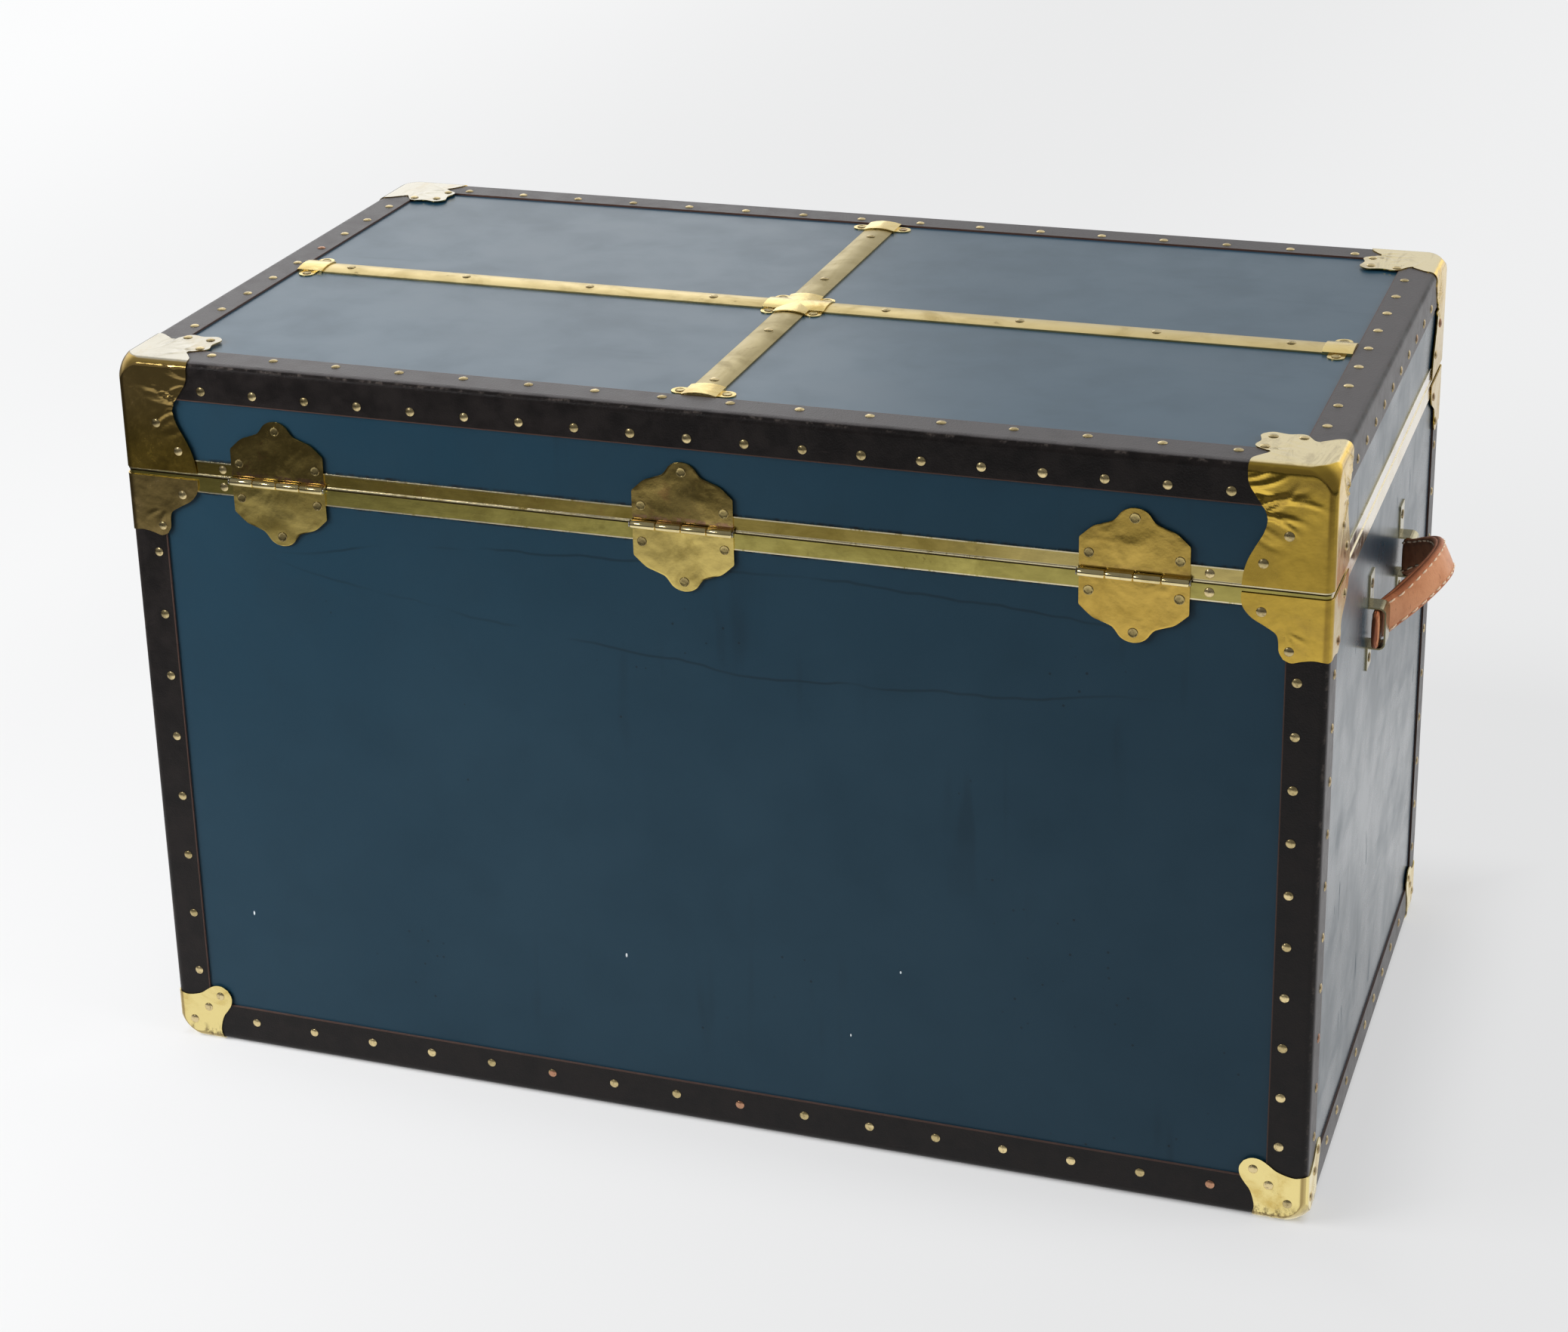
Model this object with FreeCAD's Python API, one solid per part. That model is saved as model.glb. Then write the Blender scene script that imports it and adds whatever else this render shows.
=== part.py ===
import FreeCAD, Part
import math
import os

# A brass-bound storage trunk, in millimetres. +Z is up, the hinges are at +Y and the lock at -Y.
# The origin is at floor level, under the middle of the box. Left is +X and right is -X.

# Overall sizes, over the fibre bindings
length = 915.0
depth = 518.0
height = 581.0
lid_height = 89.5

# Box of boards, lined inside
board = 8.0
board_round = 4.4
vertex_inset = 20.0
vertex_play = 0.3
lining = 0.6

# Fibre bindings along the edges
binding = 1.6
binding_flange = 30.0
bottom_flange = 33.0
binding_end = 10.0

# Clearances, and one overrun for all cuts
fit = 0.3
overrun = 5.0

# Brass rims on both sides of the split, mitred at the corners, with a lip on the lid's
rim_sheet = 1.2
lid_rim_face = 12.0
base_rim_face = 13.0
rim_gap = 0.6
lip_out = 0.7
lip_tall = 1.3
mitre_depth = 20.0

# Pressed brass corners
cap_sheet = 0.9
lid_cap_width = 62.0
base_clamp_width = 62.0
base_clamp_height = 48.0
base_clamp_gap = 3.5
foot_width = 50.0

# Hinges: two ornamental leaves each, with four knuckles on a pin
hinge_left_inset = 129.5
hinge_right_inset = 134.5
hinge_middle_offset = 5.0
leaf_half_width = 38.5
leaf_reach = 49.5
leaf_sheet = 1.3
knuckle_radius = 3.25
knuckle_count = 4
barrel_overhang = 0.5
pin_radius = 1.5
pin_play = 0.05
pin_head_radius = 2.4
pin_head = 0.6

# Slats on the lid top, with clips over their ends and a saddle over their crossing
slat_half_width = 12.0
slat_edge = 1.4
slat_crown = 3.0
slat_long_offset = 4.5
slat_short_offset = 1.5
clip_sheet = 1.0
clip_along = 22.0
clip_ear = 18.0
ear_radius = 6.5
saddle_half_x = 25.0
saddle_half_y = 23.0
saddle_ear_x = 18.0
saddle_ear_y = 17.0

# Rivet heads
dome_radius = 3.5
dome_height = 1.3
flat_radius = 3.4
flat_height = 0.6
rivet_inset = 21.5

# Handle loops and leather straps at both ends
handle_drop = 96.5
loop_spacing = 144.0
loop_width = 18.0
loop_sheet = 1.3
loop_top = 41.0
loop_bottom = 34.0
window_depth = 12.2
window_round = 4.0
strap_play = 0.6
strap_thick = 8.0
strap_width = 25.0
tab_thick = 5.0
tab_width = 29.0
tab_overhang = 5.0
strap_out = 36.0
strap_up = 27.0
strap_lean_deg = 25.0
strap_section_count = 17

# Lid stay: a slotted bar, pivoted on the lid and sliding on a stud in the base
stay_drop = 25.0
stay_run = 158.0
stay_open_deg = 105.0
stay_width = 13.0
stay_sheet = 2.0
stay_standoff = 1.2
stay_plate_radius = 11.0
stud_radius = 2.2
stud_head_radius = 4.6
stud_head = 1.4
slot_play = 0.4

# Lock: a plate outside, a case inside with a sliding bolt, and a strike with two prongs on the lid
lock_half_width = 30.0
lock_reach = 56.0
plug_radius = 5.0
plug_proud = 1.0
plug_drop = 26.0
keyway_wide = 1.2
keyway_tall = 6.5
keyway_deep = 3.0
case_half_width = 32.0
case_depth = 14.0
case_wall = 1.5
case_drop = 5.0
case_tall = 44.0
prong_spread = 17.0
prong_thick = 3.0
prong_deep = 7.0
prong_drop = 18.0
prong_eye_radius = 2.6
prong_eye_up = 5.0
prong_play = 0.8
strike_sheet = 2.0
strike_half_width = 24.0
strike_tall = 26.0
bolt_throw = 6.0
bolt_rail = 5.0
bolt_thick = 5.0
bolt_post = 4.0
bolt_peg_radius = 2.0
bolt_peg_gap = 1.0

# Clasps on the front: a flap hinged on the base that swings up over a lug on the lid
clasp_inset = 202.5
clasp_half_width = 17.0
clasp_reach = 44.0
clasp_top = 4.5
clasp_axis_drop = 21.5
clasp_barrel = 30.0
clasp_knuckle_count = 3
flap_sheet = 1.5
flap_length = 43.0
flap_half_width = 12.0
nose_deep = 1.6
nose_tall = 2.4
lug_half_width = 9.0
lug_plate_half_width = 14.0
lug_plate_sheet = 1.0
lug_plate_reach = 34.0
lug_tall = 3.0

# Outlines, as shares of the width and height of the piece that they belong to
lid_cap_side_shares = ((1.0, 0.0), (0.985, 0.10), (0.94, 0.21), (0.865, 0.32), (0.775, 0.44), (0.74, 0.55),
                       (0.775, 0.63), (0.875, 0.73), (0.955, 0.83), (0.97, 0.93), (0.97, 1.0))
lid_cap_top_shares = ((0.0, 0.97), (0.15, 0.95), (0.27, 0.87), (0.385, 0.79), (0.47, 0.86), (0.58, 0.96),
                      (0.74, 1.0), (0.89, 0.99))
lid_cap_tip_share = 0.975
base_clamp_shares = ((1.0, 0.0), (1.0, 0.12), (0.97, 0.24), (0.88, 0.37), (0.73, 0.48), (0.61, 0.58),
                     (0.58, 0.70), (0.57, 0.85), (0.52, 0.96), (0.43, 1.0), (0.32, 0.96), (0.17, 0.93),
                     (0.0, 0.96))
foot_shares = ((0.0, 0.80), (0.10, 0.79), (0.20, 0.77), (0.33, 0.79), (0.47, 0.84), (0.58, 0.92),
               (0.70, 0.99), (0.83, 1.0))
foot_tip_share = 0.94
leaf_corner_share = 0.50
leaf_curve_shares = ((0.76, 0.675), (0.46, 0.765), (0.385, 0.79), (0.325, 0.84))

# Places of rivets, as shares of the same sizes
lid_cap_side_rivet_shares = ((0.50, 0.43), (0.77, 0.19))
lid_cap_top_rivet_shares = ((0.53, 0.89), (0.86, 0.86), (0.89, 0.53))
base_clamp_rivet_shares = ((0.775, 0.27), (0.46, 0.83))
foot_rivet_shares = ((0.80, 0.82), (0.57, 0.59), (0.29, 0.33))
leaf_rivet_shares = ((0.0, 0.85), (0.82, 0.28), (-0.82, 0.28))
clasp_rivet_shares = ((0.0, 0.82), (0.78, 0.14), (-0.78, 0.14))
lug_rivet_share = 0.84
slat_long_rivet_shares = (0.90, 0.66, 0.41, 0.166, -0.163, -0.41, -0.655, -0.89)
slat_short_rivet_shares = (0.85, 0.325, -0.27, -0.81)
loop_rivet_share = 0.78

# Rivet rows: how many along each flange, and how far from the box's edges the rows end
lid_long_count = 19
lid_long_top_count = 16
lid_short_count = 10
lid_short_top_count = 9
left_post_count = 8
right_post_count = 10
bottom_long_count = 16
bottom_short_count = 9
long_row_end = 70.0
short_row_end = 84.0
post_row_top = 66.0
post_row_bottom = 62.0
rim_rivet_inset = 83.0

# Turns
quarter_deg = 90.0
full_deg = 360.0

# Levels and places that follow from the sizes
half_x = length / 2 - binding
half_y = depth / 2 - binding
floor = cap_sheet + binding
ceiling = height - binding
split = height - lid_height
base_top = split - rim_gap / 2
lid_bottom = split + rim_gap / 2
inner_x = half_x - board
inner_y = half_y - board
lined_x = inner_x - lining
lined_y = inner_y - lining
edge_x = half_x + binding
edge_y = half_y + binding
cap_out = binding + cap_sheet
cap_x = half_x + cap_out
cap_y = half_y + cap_out
flange_x = edge_x - binding_flange
flange_y = edge_y - binding_flange
leaf_out = rim_sheet + leaf_sheet
hinge_places = (length / 2 - hinge_left_inset, hinge_middle_offset, hinge_right_inset - length / 2)
hinge_y = half_y + rim_sheet + knuckle_radius + fit
barrel_length = 2 * (leaf_half_width + barrel_overhang)
lid_cap_bottom = lid_bottom + lip_tall + fit
lid_cap_tall = height + cap_sheet - lid_cap_bottom
base_clamp_top = split - base_clamp_gap
handle_level = split - handle_drop
window_half = tab_width / 2 + strap_play
plug_level = split - plug_drop
clasp_spread = length / 2 - clasp_inset
clasp_level = split - clasp_axis_drop
clasp_y = half_y + leaf_out + knuckle_radius + fit
x_axis = FreeCAD.Vector(1, 0, 0)
y_axis = FreeCAD.Vector(0, 1, 0)
z_axis = FreeCAD.Vector(0, 0, 1)
parts = {}


def vec(x, y, z):
    return FreeCAD.Vector(x, y, z)


def block(x0, x1, y0, y1, z0, z1):
    return Part.makeBox(x1 - x0, y1 - y0, z1 - z0, vec(x0, y0, z0))


def rod(radius, start, end):
    return Part.makeCylinder(radius, (end - start).Length, start, end - start)


def slab(low, high):
    """The whole plan of the trunk between two levels."""
    return block(-length, length, -depth, depth, low, high)


def joined(shapes):
    whole = shapes[0]
    for other in shapes[1:]:
        whole = whole.fuse(other)
    return whole.removeSplitter()


def flip_x(shape):
    return shape.mirror(vec(0, 0, 0), x_axis)


def flip_y(shape):
    return shape.mirror(vec(0, 0, 0), y_axis)


def moved(shape, x, y, z):
    copy = shape.copy()
    copy.translate(vec(x, y, z))
    return copy


def turned(shape, degrees):
    copy = shape.copy()
    copy.rotate(vec(0, 0, 0), z_axis, degrees)
    return copy


def to_corner(shape, face, side):
    """Move a piece made at the back left corner to another corner by mirroring."""
    if side == "right":
        shape = flip_x(shape)
    if face == "front":
        shape = flip_y(shape)
    return shape


def straight(points):
    return [Part.LineSegment(a, b).toShape() for a, b in zip(points, points[1:])]


def smooth(points):
    curve = Part.BSplineCurve()
    curve.interpolate(points)
    return curve.toShape()


def arc(start, middle, end):
    return Part.Arc(start, middle, end).toShape()


def extruded(edges, direction):
    return Part.Face(Part.Wire(edges)).extrude(direction)


def envelope(grow):
    """The rounded box, grown outwards from the boards' outer faces, with ball-rounded corners."""
    out_x = half_x + grow
    out_y = half_y + grow
    body = block(-out_x, out_x, -out_y, out_y, floor - grow, ceiling + grow)
    body = body.makeFillet(board_round + grow, body.Edges)
    ball = math.sqrt(2) * (vertex_inset - board_round) + board_round + vertex_play + grow
    far = grow + overrun
    for level, up in ((floor, 1), (ceiling, -1)):
        centre = vec(half_x - vertex_inset, half_y - vertex_inset, level + up * vertex_inset)
        low, high = sorted((centre.z, level - up * far))
        corner = block(centre.x, half_x + far, centre.y, half_y + far, low, high)
        tip = corner.cut(Part.makeSphere(ball, centre))
        for face in ("back", "front"):
            for side in ("left", "right"):
                body = body.cut(to_corner(tip, face, side))
    return body


board_skin = envelope(0)
rim_skin = envelope(rim_sheet)
lip_skin = envelope(rim_sheet + lip_out)
binding_skin = envelope(binding)
cap_skin = envelope(cap_out)


def placed(face, a, b, out):
    """A point on a face of the box, out from the boards' surface, and the way that the face looks."""
    if face == "top":
        return vec(a, b, ceiling + out), z_axis
    if face in ("back", "front"):
        sign = 1 if face == "back" else -1
        return vec(a, sign * (half_y + out), b), y_axis * sign
    sign = 1 if face == "left" else -1
    return vec(sign * (half_x + out), a, b), x_axis * sign


def dome(face, a, b, out):
    """A domed rivet head on a face."""
    point, look = placed(face, a, b, out)
    ball = (dome_radius ** 2 + dome_height ** 2) / (2 * dome_height)
    rim_deg = math.degrees(math.asin((ball - dome_height) / ball))
    return Part.makeSphere(ball, point - look * (ball - dome_height), look, rim_deg, quarter_deg, full_deg)


def disc(face, a, b, out):
    """A flat rivet head on a face."""
    point, look = placed(face, a, b, out)
    return Part.makeCylinder(flat_radius, flat_height, point, look)


def row(count, end):
    return [-end + 2 * end * i / (count - 1) for i in range(count)]


# Boards and linings
def walls(name, low, high):
    for face, sign in (("back", 1), ("front", -1)):
        near, far = sorted((sign * inner_y, sign * depth))
        parts[name + "_" + face] = board_skin.common(block(-length, length, near, far, low, high))
    for side, sign in (("left", 1), ("right", -1)):
        near, far = sorted((sign * inner_x, sign * length))
        parts[name + "_" + side] = board_skin.common(block(near, far, -inner_y, inner_y, low, high))


def boards():
    parts["base_bottom"] = board_skin.common(slab(0, floor + board))
    walls("base", floor + board, base_top - rim_sheet)
    parts["lid_top"] = board_skin.common(slab(ceiling - board, height))
    walls("lid", lid_bottom + rim_sheet, ceiling - board)


def linings():
    outer = block(-inner_x, inner_x, -inner_y, inner_y, floor + board, base_top - rim_sheet)
    inner = block(-lined_x, lined_x, -lined_y, lined_y, floor + board + lining, base_top)
    parts["base_lining"] = outer.cut(inner)
    outer = block(-inner_x, inner_x, -inner_y, inner_y, lid_bottom + rim_sheet, ceiling - board)
    inner = block(-lined_x, lined_x, -lined_y, lined_y, lid_bottom, ceiling - board - lining)
    parts["lid_lining"] = outer.cut(inner)


# Bindings: angle strips along the edges of the base and lid
def bindings():
    shell = binding_skin.cut(board_skin)
    strip_x = half_x - binding_end
    low = cap_sheet + bottom_flange
    high = height - binding_flange
    for name, z0, z1 in (("bottom", 0, low), ("lid", high, height)):
        long_strip = shell.common(block(-strip_x, strip_x, flange_y, depth, z0, z1))
        short_strip = shell.common(block(flange_x, length, -flange_y, flange_y, z0, z1))
        parts[name + "_binding_back"] = long_strip
        parts[name + "_binding_front"] = flip_y(long_strip)
        parts[name + "_binding_left"] = short_strip
        parts[name + "_binding_right"] = flip_x(short_strip)
    post = shell.common(block(flange_x, length, flange_y, depth, low, base_top - base_rim_face))
    posts = [to_corner(post, face, side) for face in ("back", "front") for side in ("left", "right")]
    parts["post_bindings"] = Part.makeCompound(posts)


# Rims: brass angle strips on the edges of the boards
def mitre(out_x, out_y):
    """A wedge over the strip along the back, cut at 45 degrees at both ends."""
    points = [vec(-out_x, out_y, 0), vec(out_x, out_y, 0), vec(out_x - mitre_depth, out_y - mitre_depth, 0),
              vec(mitre_depth - out_x, out_y - mitre_depth, 0), vec(-out_x, out_y, 0)]
    return extruded(straight(points), vec(0, 0, height))


def strips(ring):
    """The four mitred strips of a ring."""
    back = mitre(half_x + overrun, half_y + overrun)
    left = turned(mitre(half_y + overrun, half_x + overrun), -quarter_deg)
    return [ring.common(tool) for tool in (back, flip_y(back), left, flip_x(left))]


def rims():
    opening = block(-inner_x, inner_x, -inner_y, inner_y, 0, height)
    ring = rim_skin.common(slab(base_top - base_rim_face, base_top))
    ring = ring.cut(board_skin.common(slab(0, base_top - rim_sheet))).cut(opening)
    parts["base_rim"] = Part.makeCompound(strips(ring))
    ring = rim_skin.common(slab(lid_bottom, lid_bottom + lid_rim_face))
    lip = lip_skin.common(slab(lid_bottom, lid_bottom + lip_tall))
    notch = barrel_length / 2 + pin_head + 2 * fit
    for place in hinge_places:
        lip = lip.cut(block(place - notch, place + notch, half_y + rim_sheet, depth, 0, height))
    ring = joined([ring, lip])
    ring = ring.cut(board_skin.common(slab(lid_bottom + rim_sheet, height))).cut(opening)
    parts["lid_rim"] = Part.makeCompound(strips(ring))


# Pressed corners: sheet over the corner, trimmed to an outline on each face
def both_ways(shares, tip):
    """An outline that is the same on both sides of the diagonal."""
    return shares + ((tip, tip),) + tuple((b, a) for a, b in reversed(shares))


def corner_sheet(span, low, high):
    """The sheet over the back left corner, between two levels."""
    region = block(cap_x - span, length, cap_y - span, depth, low, high)
    return cap_skin.common(region).cut(binding_skin.common(region))


def waste(points, closing, place, direction):
    """What lies outside an outline on one face, as a block to cut away."""
    curve = [place(u, v) for u, v in points]
    around = [curve[-1]] + [place(u, v) for u, v in closing] + [curve[0]]
    return extruded([smooth(curve)] + straight(around), direction)


def trimmed(sheet, points, closing, level, up, faces):
    """Cut an outline into the named faces of a corner sheet; v runs from the level, up or down."""
    thick = 3 * cap_out
    if "back" in faces:
        start_y = half_y - cap_out
        sheet = sheet.cut(waste(points, closing, lambda u, v: vec(cap_x - u, start_y, level + up * v),
                                vec(0, thick, 0)))
    if "end" in faces:
        start_x = half_x - cap_out
        sheet = sheet.cut(waste(points, closing, lambda u, v: vec(start_x, cap_y - u, level + up * v),
                                vec(thick, 0, 0)))
    if "flat" in faces:
        start_z = level - up * cap_out
        sheet = sheet.cut(waste(points, closing, lambda u, v: vec(cap_x - u, cap_y - v, start_z),
                                vec(0, 0, up * thick)))
    return sheet


def around_corner(points, far):
    """Closing points for an outline that starts and ends on the two edges of a corner."""
    return [(points[-1][0], -overrun), (far, -overrun), (far, far), (-overrun, far),
            (-overrun, points[0][1])]


def scaled(shares, wide, tall):
    return [(u * wide, v * tall) for u, v in shares]


def lid_corner():
    far = lid_cap_width + 2 * overrun
    sheet = corner_sheet(lid_cap_width + overrun, lid_cap_bottom, height + cap_sheet)
    side = scaled(lid_cap_side_shares, lid_cap_width, lid_cap_tall)
    above = lid_cap_tall + overrun
    closing = [(side[-1][0], above), (far, above), (far, -overrun), (side[0][0], -overrun)]
    sheet = trimmed(sheet, side, closing, lid_cap_bottom, 1, ("back", "end"))
    top = scaled(both_ways(lid_cap_top_shares, lid_cap_tip_share), lid_cap_width, lid_cap_width)
    return trimmed(sheet, top, around_corner(top, far), ceiling, 1, ("flat",))


def base_clamp():
    far = base_clamp_width + 2 * overrun
    sheet = corner_sheet(base_clamp_width + overrun, base_clamp_top - base_clamp_height, base_clamp_top)
    side = scaled(base_clamp_shares, base_clamp_width, base_clamp_height)
    closing = [(-overrun, side[-1][1]), (-overrun, far), (far, far), (far, -overrun), (side[0][0], -overrun)]
    return trimmed(sheet, side, closing, base_clamp_top, -1, ("back", "end"))


def foot():
    far = foot_width + 2 * overrun
    sheet = corner_sheet(foot_width + overrun, 0, foot_width + overrun)
    side = scaled(both_ways(foot_shares, foot_tip_share), foot_width, foot_width)
    sheet = trimmed(sheet, side, around_corner(side, far), 0, 1, ("back", "end"))
    return trimmed(sheet, side, around_corner(side, far), floor, -1, ("flat",))


def corners():
    pieces = {"lid_corner": lid_corner(), "base_clamp": base_clamp(), "bottom_corner": foot()}
    for name, piece in pieces.items():
        for face in ("back", "front"):
            for side in ("left", "right"):
                parts[name + "_" + face + "_" + side] = to_corner(piece, face, side)


# Ornamental plates: two sloping shoulders and a round tip
def leaf(place, half_width, reach, root, top, up, sheet):
    """A leaf on the back's rim, from a root to its reach above or below a level."""
    def at(a, b):
        return vec(place + a * half_width, half_y + rim_sheet, top + up * b * reach)
    curve = [(1.0, leaf_corner_share)] + list(leaf_curve_shares)
    neck_a, neck_b = curve[-1]
    low = root / reach
    edges = straight([at(1.0, low), at(1.0, leaf_corner_share)])
    edges.append(smooth([at(a, b) for a, b in curve]))
    edges.append(arc(at(neck_a, neck_b), at(0, 1.0), at(-neck_a, neck_b)))
    edges.append(smooth([at(-a, b) for a, b in reversed(curve)]))
    edges += straight([at(-1.0, leaf_corner_share), at(-1.0, low), at(1.0, low)])
    return extruded(edges, vec(0, sheet, 0))


def spans(place, width, count, odd):
    """The stretches along X of every other knuckle of a barrel."""
    each = width / count
    return [(place - width / 2 + i * each, place - width / 2 + (i + 1) * each) for i in range(odd, count, 2)]


def knuckle(span, level, y):
    return rod(knuckle_radius, vec(span[0] + fit / 2, y, level), vec(span[1] - fit / 2, y, level))


def knuckle_room(span, level, y):
    """The room that a knuckle of the other leaf turns in."""
    return rod(knuckle_radius + fit, vec(span[0] - fit / 2, y, level), vec(span[1] + fit / 2, y, level))


def bored(shape, place, width, level, y):
    """The shape with a bore for its hinge pin."""
    reach = width / 2 + overrun
    return shape.cut(rod(pin_radius + pin_play, vec(place - reach, y, level), vec(place + reach, y, level)))


def pin(place, width, level, y):
    """A hinge pin with a head at each end of its barrel."""
    near = width / 2 + fit / 2
    pieces = [rod(pin_radius, vec(place - near, y, level), vec(place + near, y, level))]
    for sign in (1, -1):
        pieces.append(rod(pin_head_radius, vec(place + sign * near, y, level),
                          vec(place + sign * (near + pin_head), y, level)))
    return joined(pieces)


def hinge_leaf(place, up):
    """One leaf with its knuckles, cut clear of the knuckles of the other leaf."""
    odd = 0 if up > 0 else 1
    shape = leaf(place, leaf_half_width, leaf_reach, rim_gap / 2, split, up, leaf_sheet)
    for span in spans(place, barrel_length, knuckle_count, 1 - odd):
        shape = shape.cut(knuckle_room(span, split, hinge_y))
    own = [knuckle(span, split, hinge_y) for span in spans(place, barrel_length, knuckle_count, odd)]
    return bored(joined([shape] + own), place, barrel_length, split, hinge_y)


def hinges():
    parts["upper_hinge_leaves"] = Part.makeCompound([hinge_leaf(place, 1) for place in hinge_places])
    parts["lower_hinge_leaves"] = Part.makeCompound([hinge_leaf(place, -1) for place in hinge_places])
    pins = [pin(place, barrel_length, split, hinge_y) for place in hinge_places]
    parts["hinge_pins"] = Part.makeCompound(pins)


# Slats, and the clips and saddle that hold them
def ribbon(half_width, edge, crown, start, end):
    """A strip along X with a crowned top, from a flat underside at zero."""
    edges = straight([vec(start, -half_width, edge), vec(start, -half_width, 0), vec(start, half_width, 0),
                      vec(start, half_width, edge)])
    edges.append(arc(vec(start, half_width, edge), vec(start, 0, crown), vec(start, -half_width, edge)))
    return extruded(edges, vec(end - start, 0, 0))


def slat(start, end):
    return ribbon(slat_half_width, slat_edge, slat_crown, start, end)


def tunnel(half_length):
    """The sheet that bridges a slat along X, and the room under it."""
    half = slat_half_width + fit
    crown = slat_crown + fit
    reach = half_length + overrun
    hood = ribbon(half + clip_sheet, slat_edge + clip_sheet, crown + clip_sheet, -half_length, half_length)
    return hood, ribbon(half, slat_edge, crown, -reach, reach)


def slats():
    end_x = flange_x - fit
    end_y = flange_y - fit
    parts["slat_long"] = moved(slat(-end_x, end_x), 0, slat_long_offset, ceiling)
    side = slat_half_width + fit
    halves = [turned(slat(slat_long_offset + side, end_y), quarter_deg),
              turned(slat(-end_y, slat_long_offset - side), quarter_deg)]
    parts["slat_short"] = Part.makeCompound([moved(half, slat_short_offset, 0, ceiling) for half in halves])


def ears(places):
    return [rod(ear_radius, vec(x, y, 0), vec(x, y, clip_sheet)) for x, y in places]


def clip():
    """A clip over a slat's end, for a slat along X, with its middle at the origin."""
    hood, room = tunnel(clip_along / 2)
    flange = block(-ear_radius, ear_radius, -clip_ear, clip_ear, 0, clip_sheet)
    return joined([hood, flange] + ears([(0, clip_ear), (0, -clip_ear)])).cut(room)


def saddle():
    """The four-lobed saddle over the crossing of the slats."""
    along_x, room_x = tunnel(saddle_half_x)
    along_y, room_y = tunnel(saddle_half_y)
    plate = block(-saddle_ear_x, saddle_ear_x, -saddle_ear_y, saddle_ear_y, 0, clip_sheet)
    lobes = ears([(sx * saddle_ear_x, sy * saddle_ear_y) for sx in (1, -1) for sy in (1, -1)])
    whole = joined([along_x, turned(along_y, quarter_deg), plate] + lobes)
    return whole.cut(room_x).cut(turned(room_y, quarter_deg))


def clip_places():
    """The middle of each clip, and the quarter turns that bring it into line with its slat."""
    reach_x = flange_x - fit - clip_along / 2
    reach_y = flange_y - fit - clip_along / 2
    return [(reach_x, slat_long_offset, 0), (-reach_x, slat_long_offset, 0),
            (slat_short_offset, reach_y, 1), (slat_short_offset, -reach_y, 1)]


def slat_fittings():
    clips = []
    for x, y, quarters in clip_places():
        clips.append(moved(turned(clip(), quarters * quarter_deg), x, y, ceiling))
    parts["slat_clips"] = Part.makeCompound(clips)
    parts["slat_saddle"] = moved(saddle(), slat_short_offset, slat_long_offset, ceiling)


# Handles: riveted loops that hold the ends of a leather strap
def bridge(out, half, bend):
    """A block that stands out from the wall, with its outer edges rounded."""
    flat = half - bend
    side = out - bend
    slant = bend * math.sqrt(0.5)
    edges = straight([vec(0, 0, half), vec(0, 0, -half), vec(side, 0, -half)])
    edges.append(arc(vec(side, 0, -half), vec(side + slant, 0, -flat - slant), vec(out, 0, -flat)))
    edges += straight([vec(out, 0, -flat), vec(out, 0, flat)])
    edges.append(arc(vec(out, 0, flat), vec(side + slant, 0, flat + slant), vec(side, 0, half)))
    edges += straight([vec(side, 0, half), vec(0, 0, half)])
    return extruded(edges, vec(0, loop_width, 0))


def loop(y):
    """A loop on the left end: flat flanges, and a bridge that stands out over the strap's tab."""
    flange = block(0, loop_sheet, 0, loop_width, -loop_bottom, loop_top)
    outer = bridge(window_depth + loop_sheet, window_half + loop_sheet, window_round + loop_sheet)
    inner = bridge(window_depth, window_half, window_round)
    return moved(joined([flange, outer]).cut(inner), half_x, y - loop_width / 2, handle_level)


def strap_section(y, rise):
    """The strap's section at a place along it: a tab where it doesn't rise, wide and thick where it does."""
    lean = math.radians(strap_lean_deg) * rise
    half_wide = (tab_width + (strap_width - tab_width) * rise) / 2
    half_thick = (tab_thick + (strap_thick - tab_thick) * rise) / 2
    middle = vec(half_x + window_depth / 2 + strap_out * rise, y, handle_level + strap_up * rise)
    thick = vec(math.cos(lean), 0, math.sin(lean)) * half_thick
    wide = vec(-math.sin(lean), 0, math.cos(lean)) * half_wide
    ring = [middle + thick + wide, middle + thick - wide, middle - thick - wide, middle - thick + wide]
    return Part.makePolygon(ring + ring[:1])


def strap():
    """A leather strap on the left end, arched out and up between its two upright tabs."""
    bow = (loop_spacing - loop_width) / 2 - fit
    tab_end = (loop_spacing + loop_width) / 2 + tab_overhang
    sections = [strap_section(-tab_end, 0)]
    for t in row(strap_section_count, 1.0):
        sections.append(strap_section(bow * t, 1 - t * t))
    sections.append(strap_section(tab_end, 0))
    return Part.makeLoft(sections, True, True)


def handles():
    pair = [loop(loop_spacing / 2), loop(-loop_spacing / 2)]
    parts["handle_loops"] = Part.makeCompound(pair + [flip_x(piece) for piece in pair])
    parts["handle_strap_left"] = strap()
    parts["handle_strap_right"] = flip_x(strap())


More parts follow.
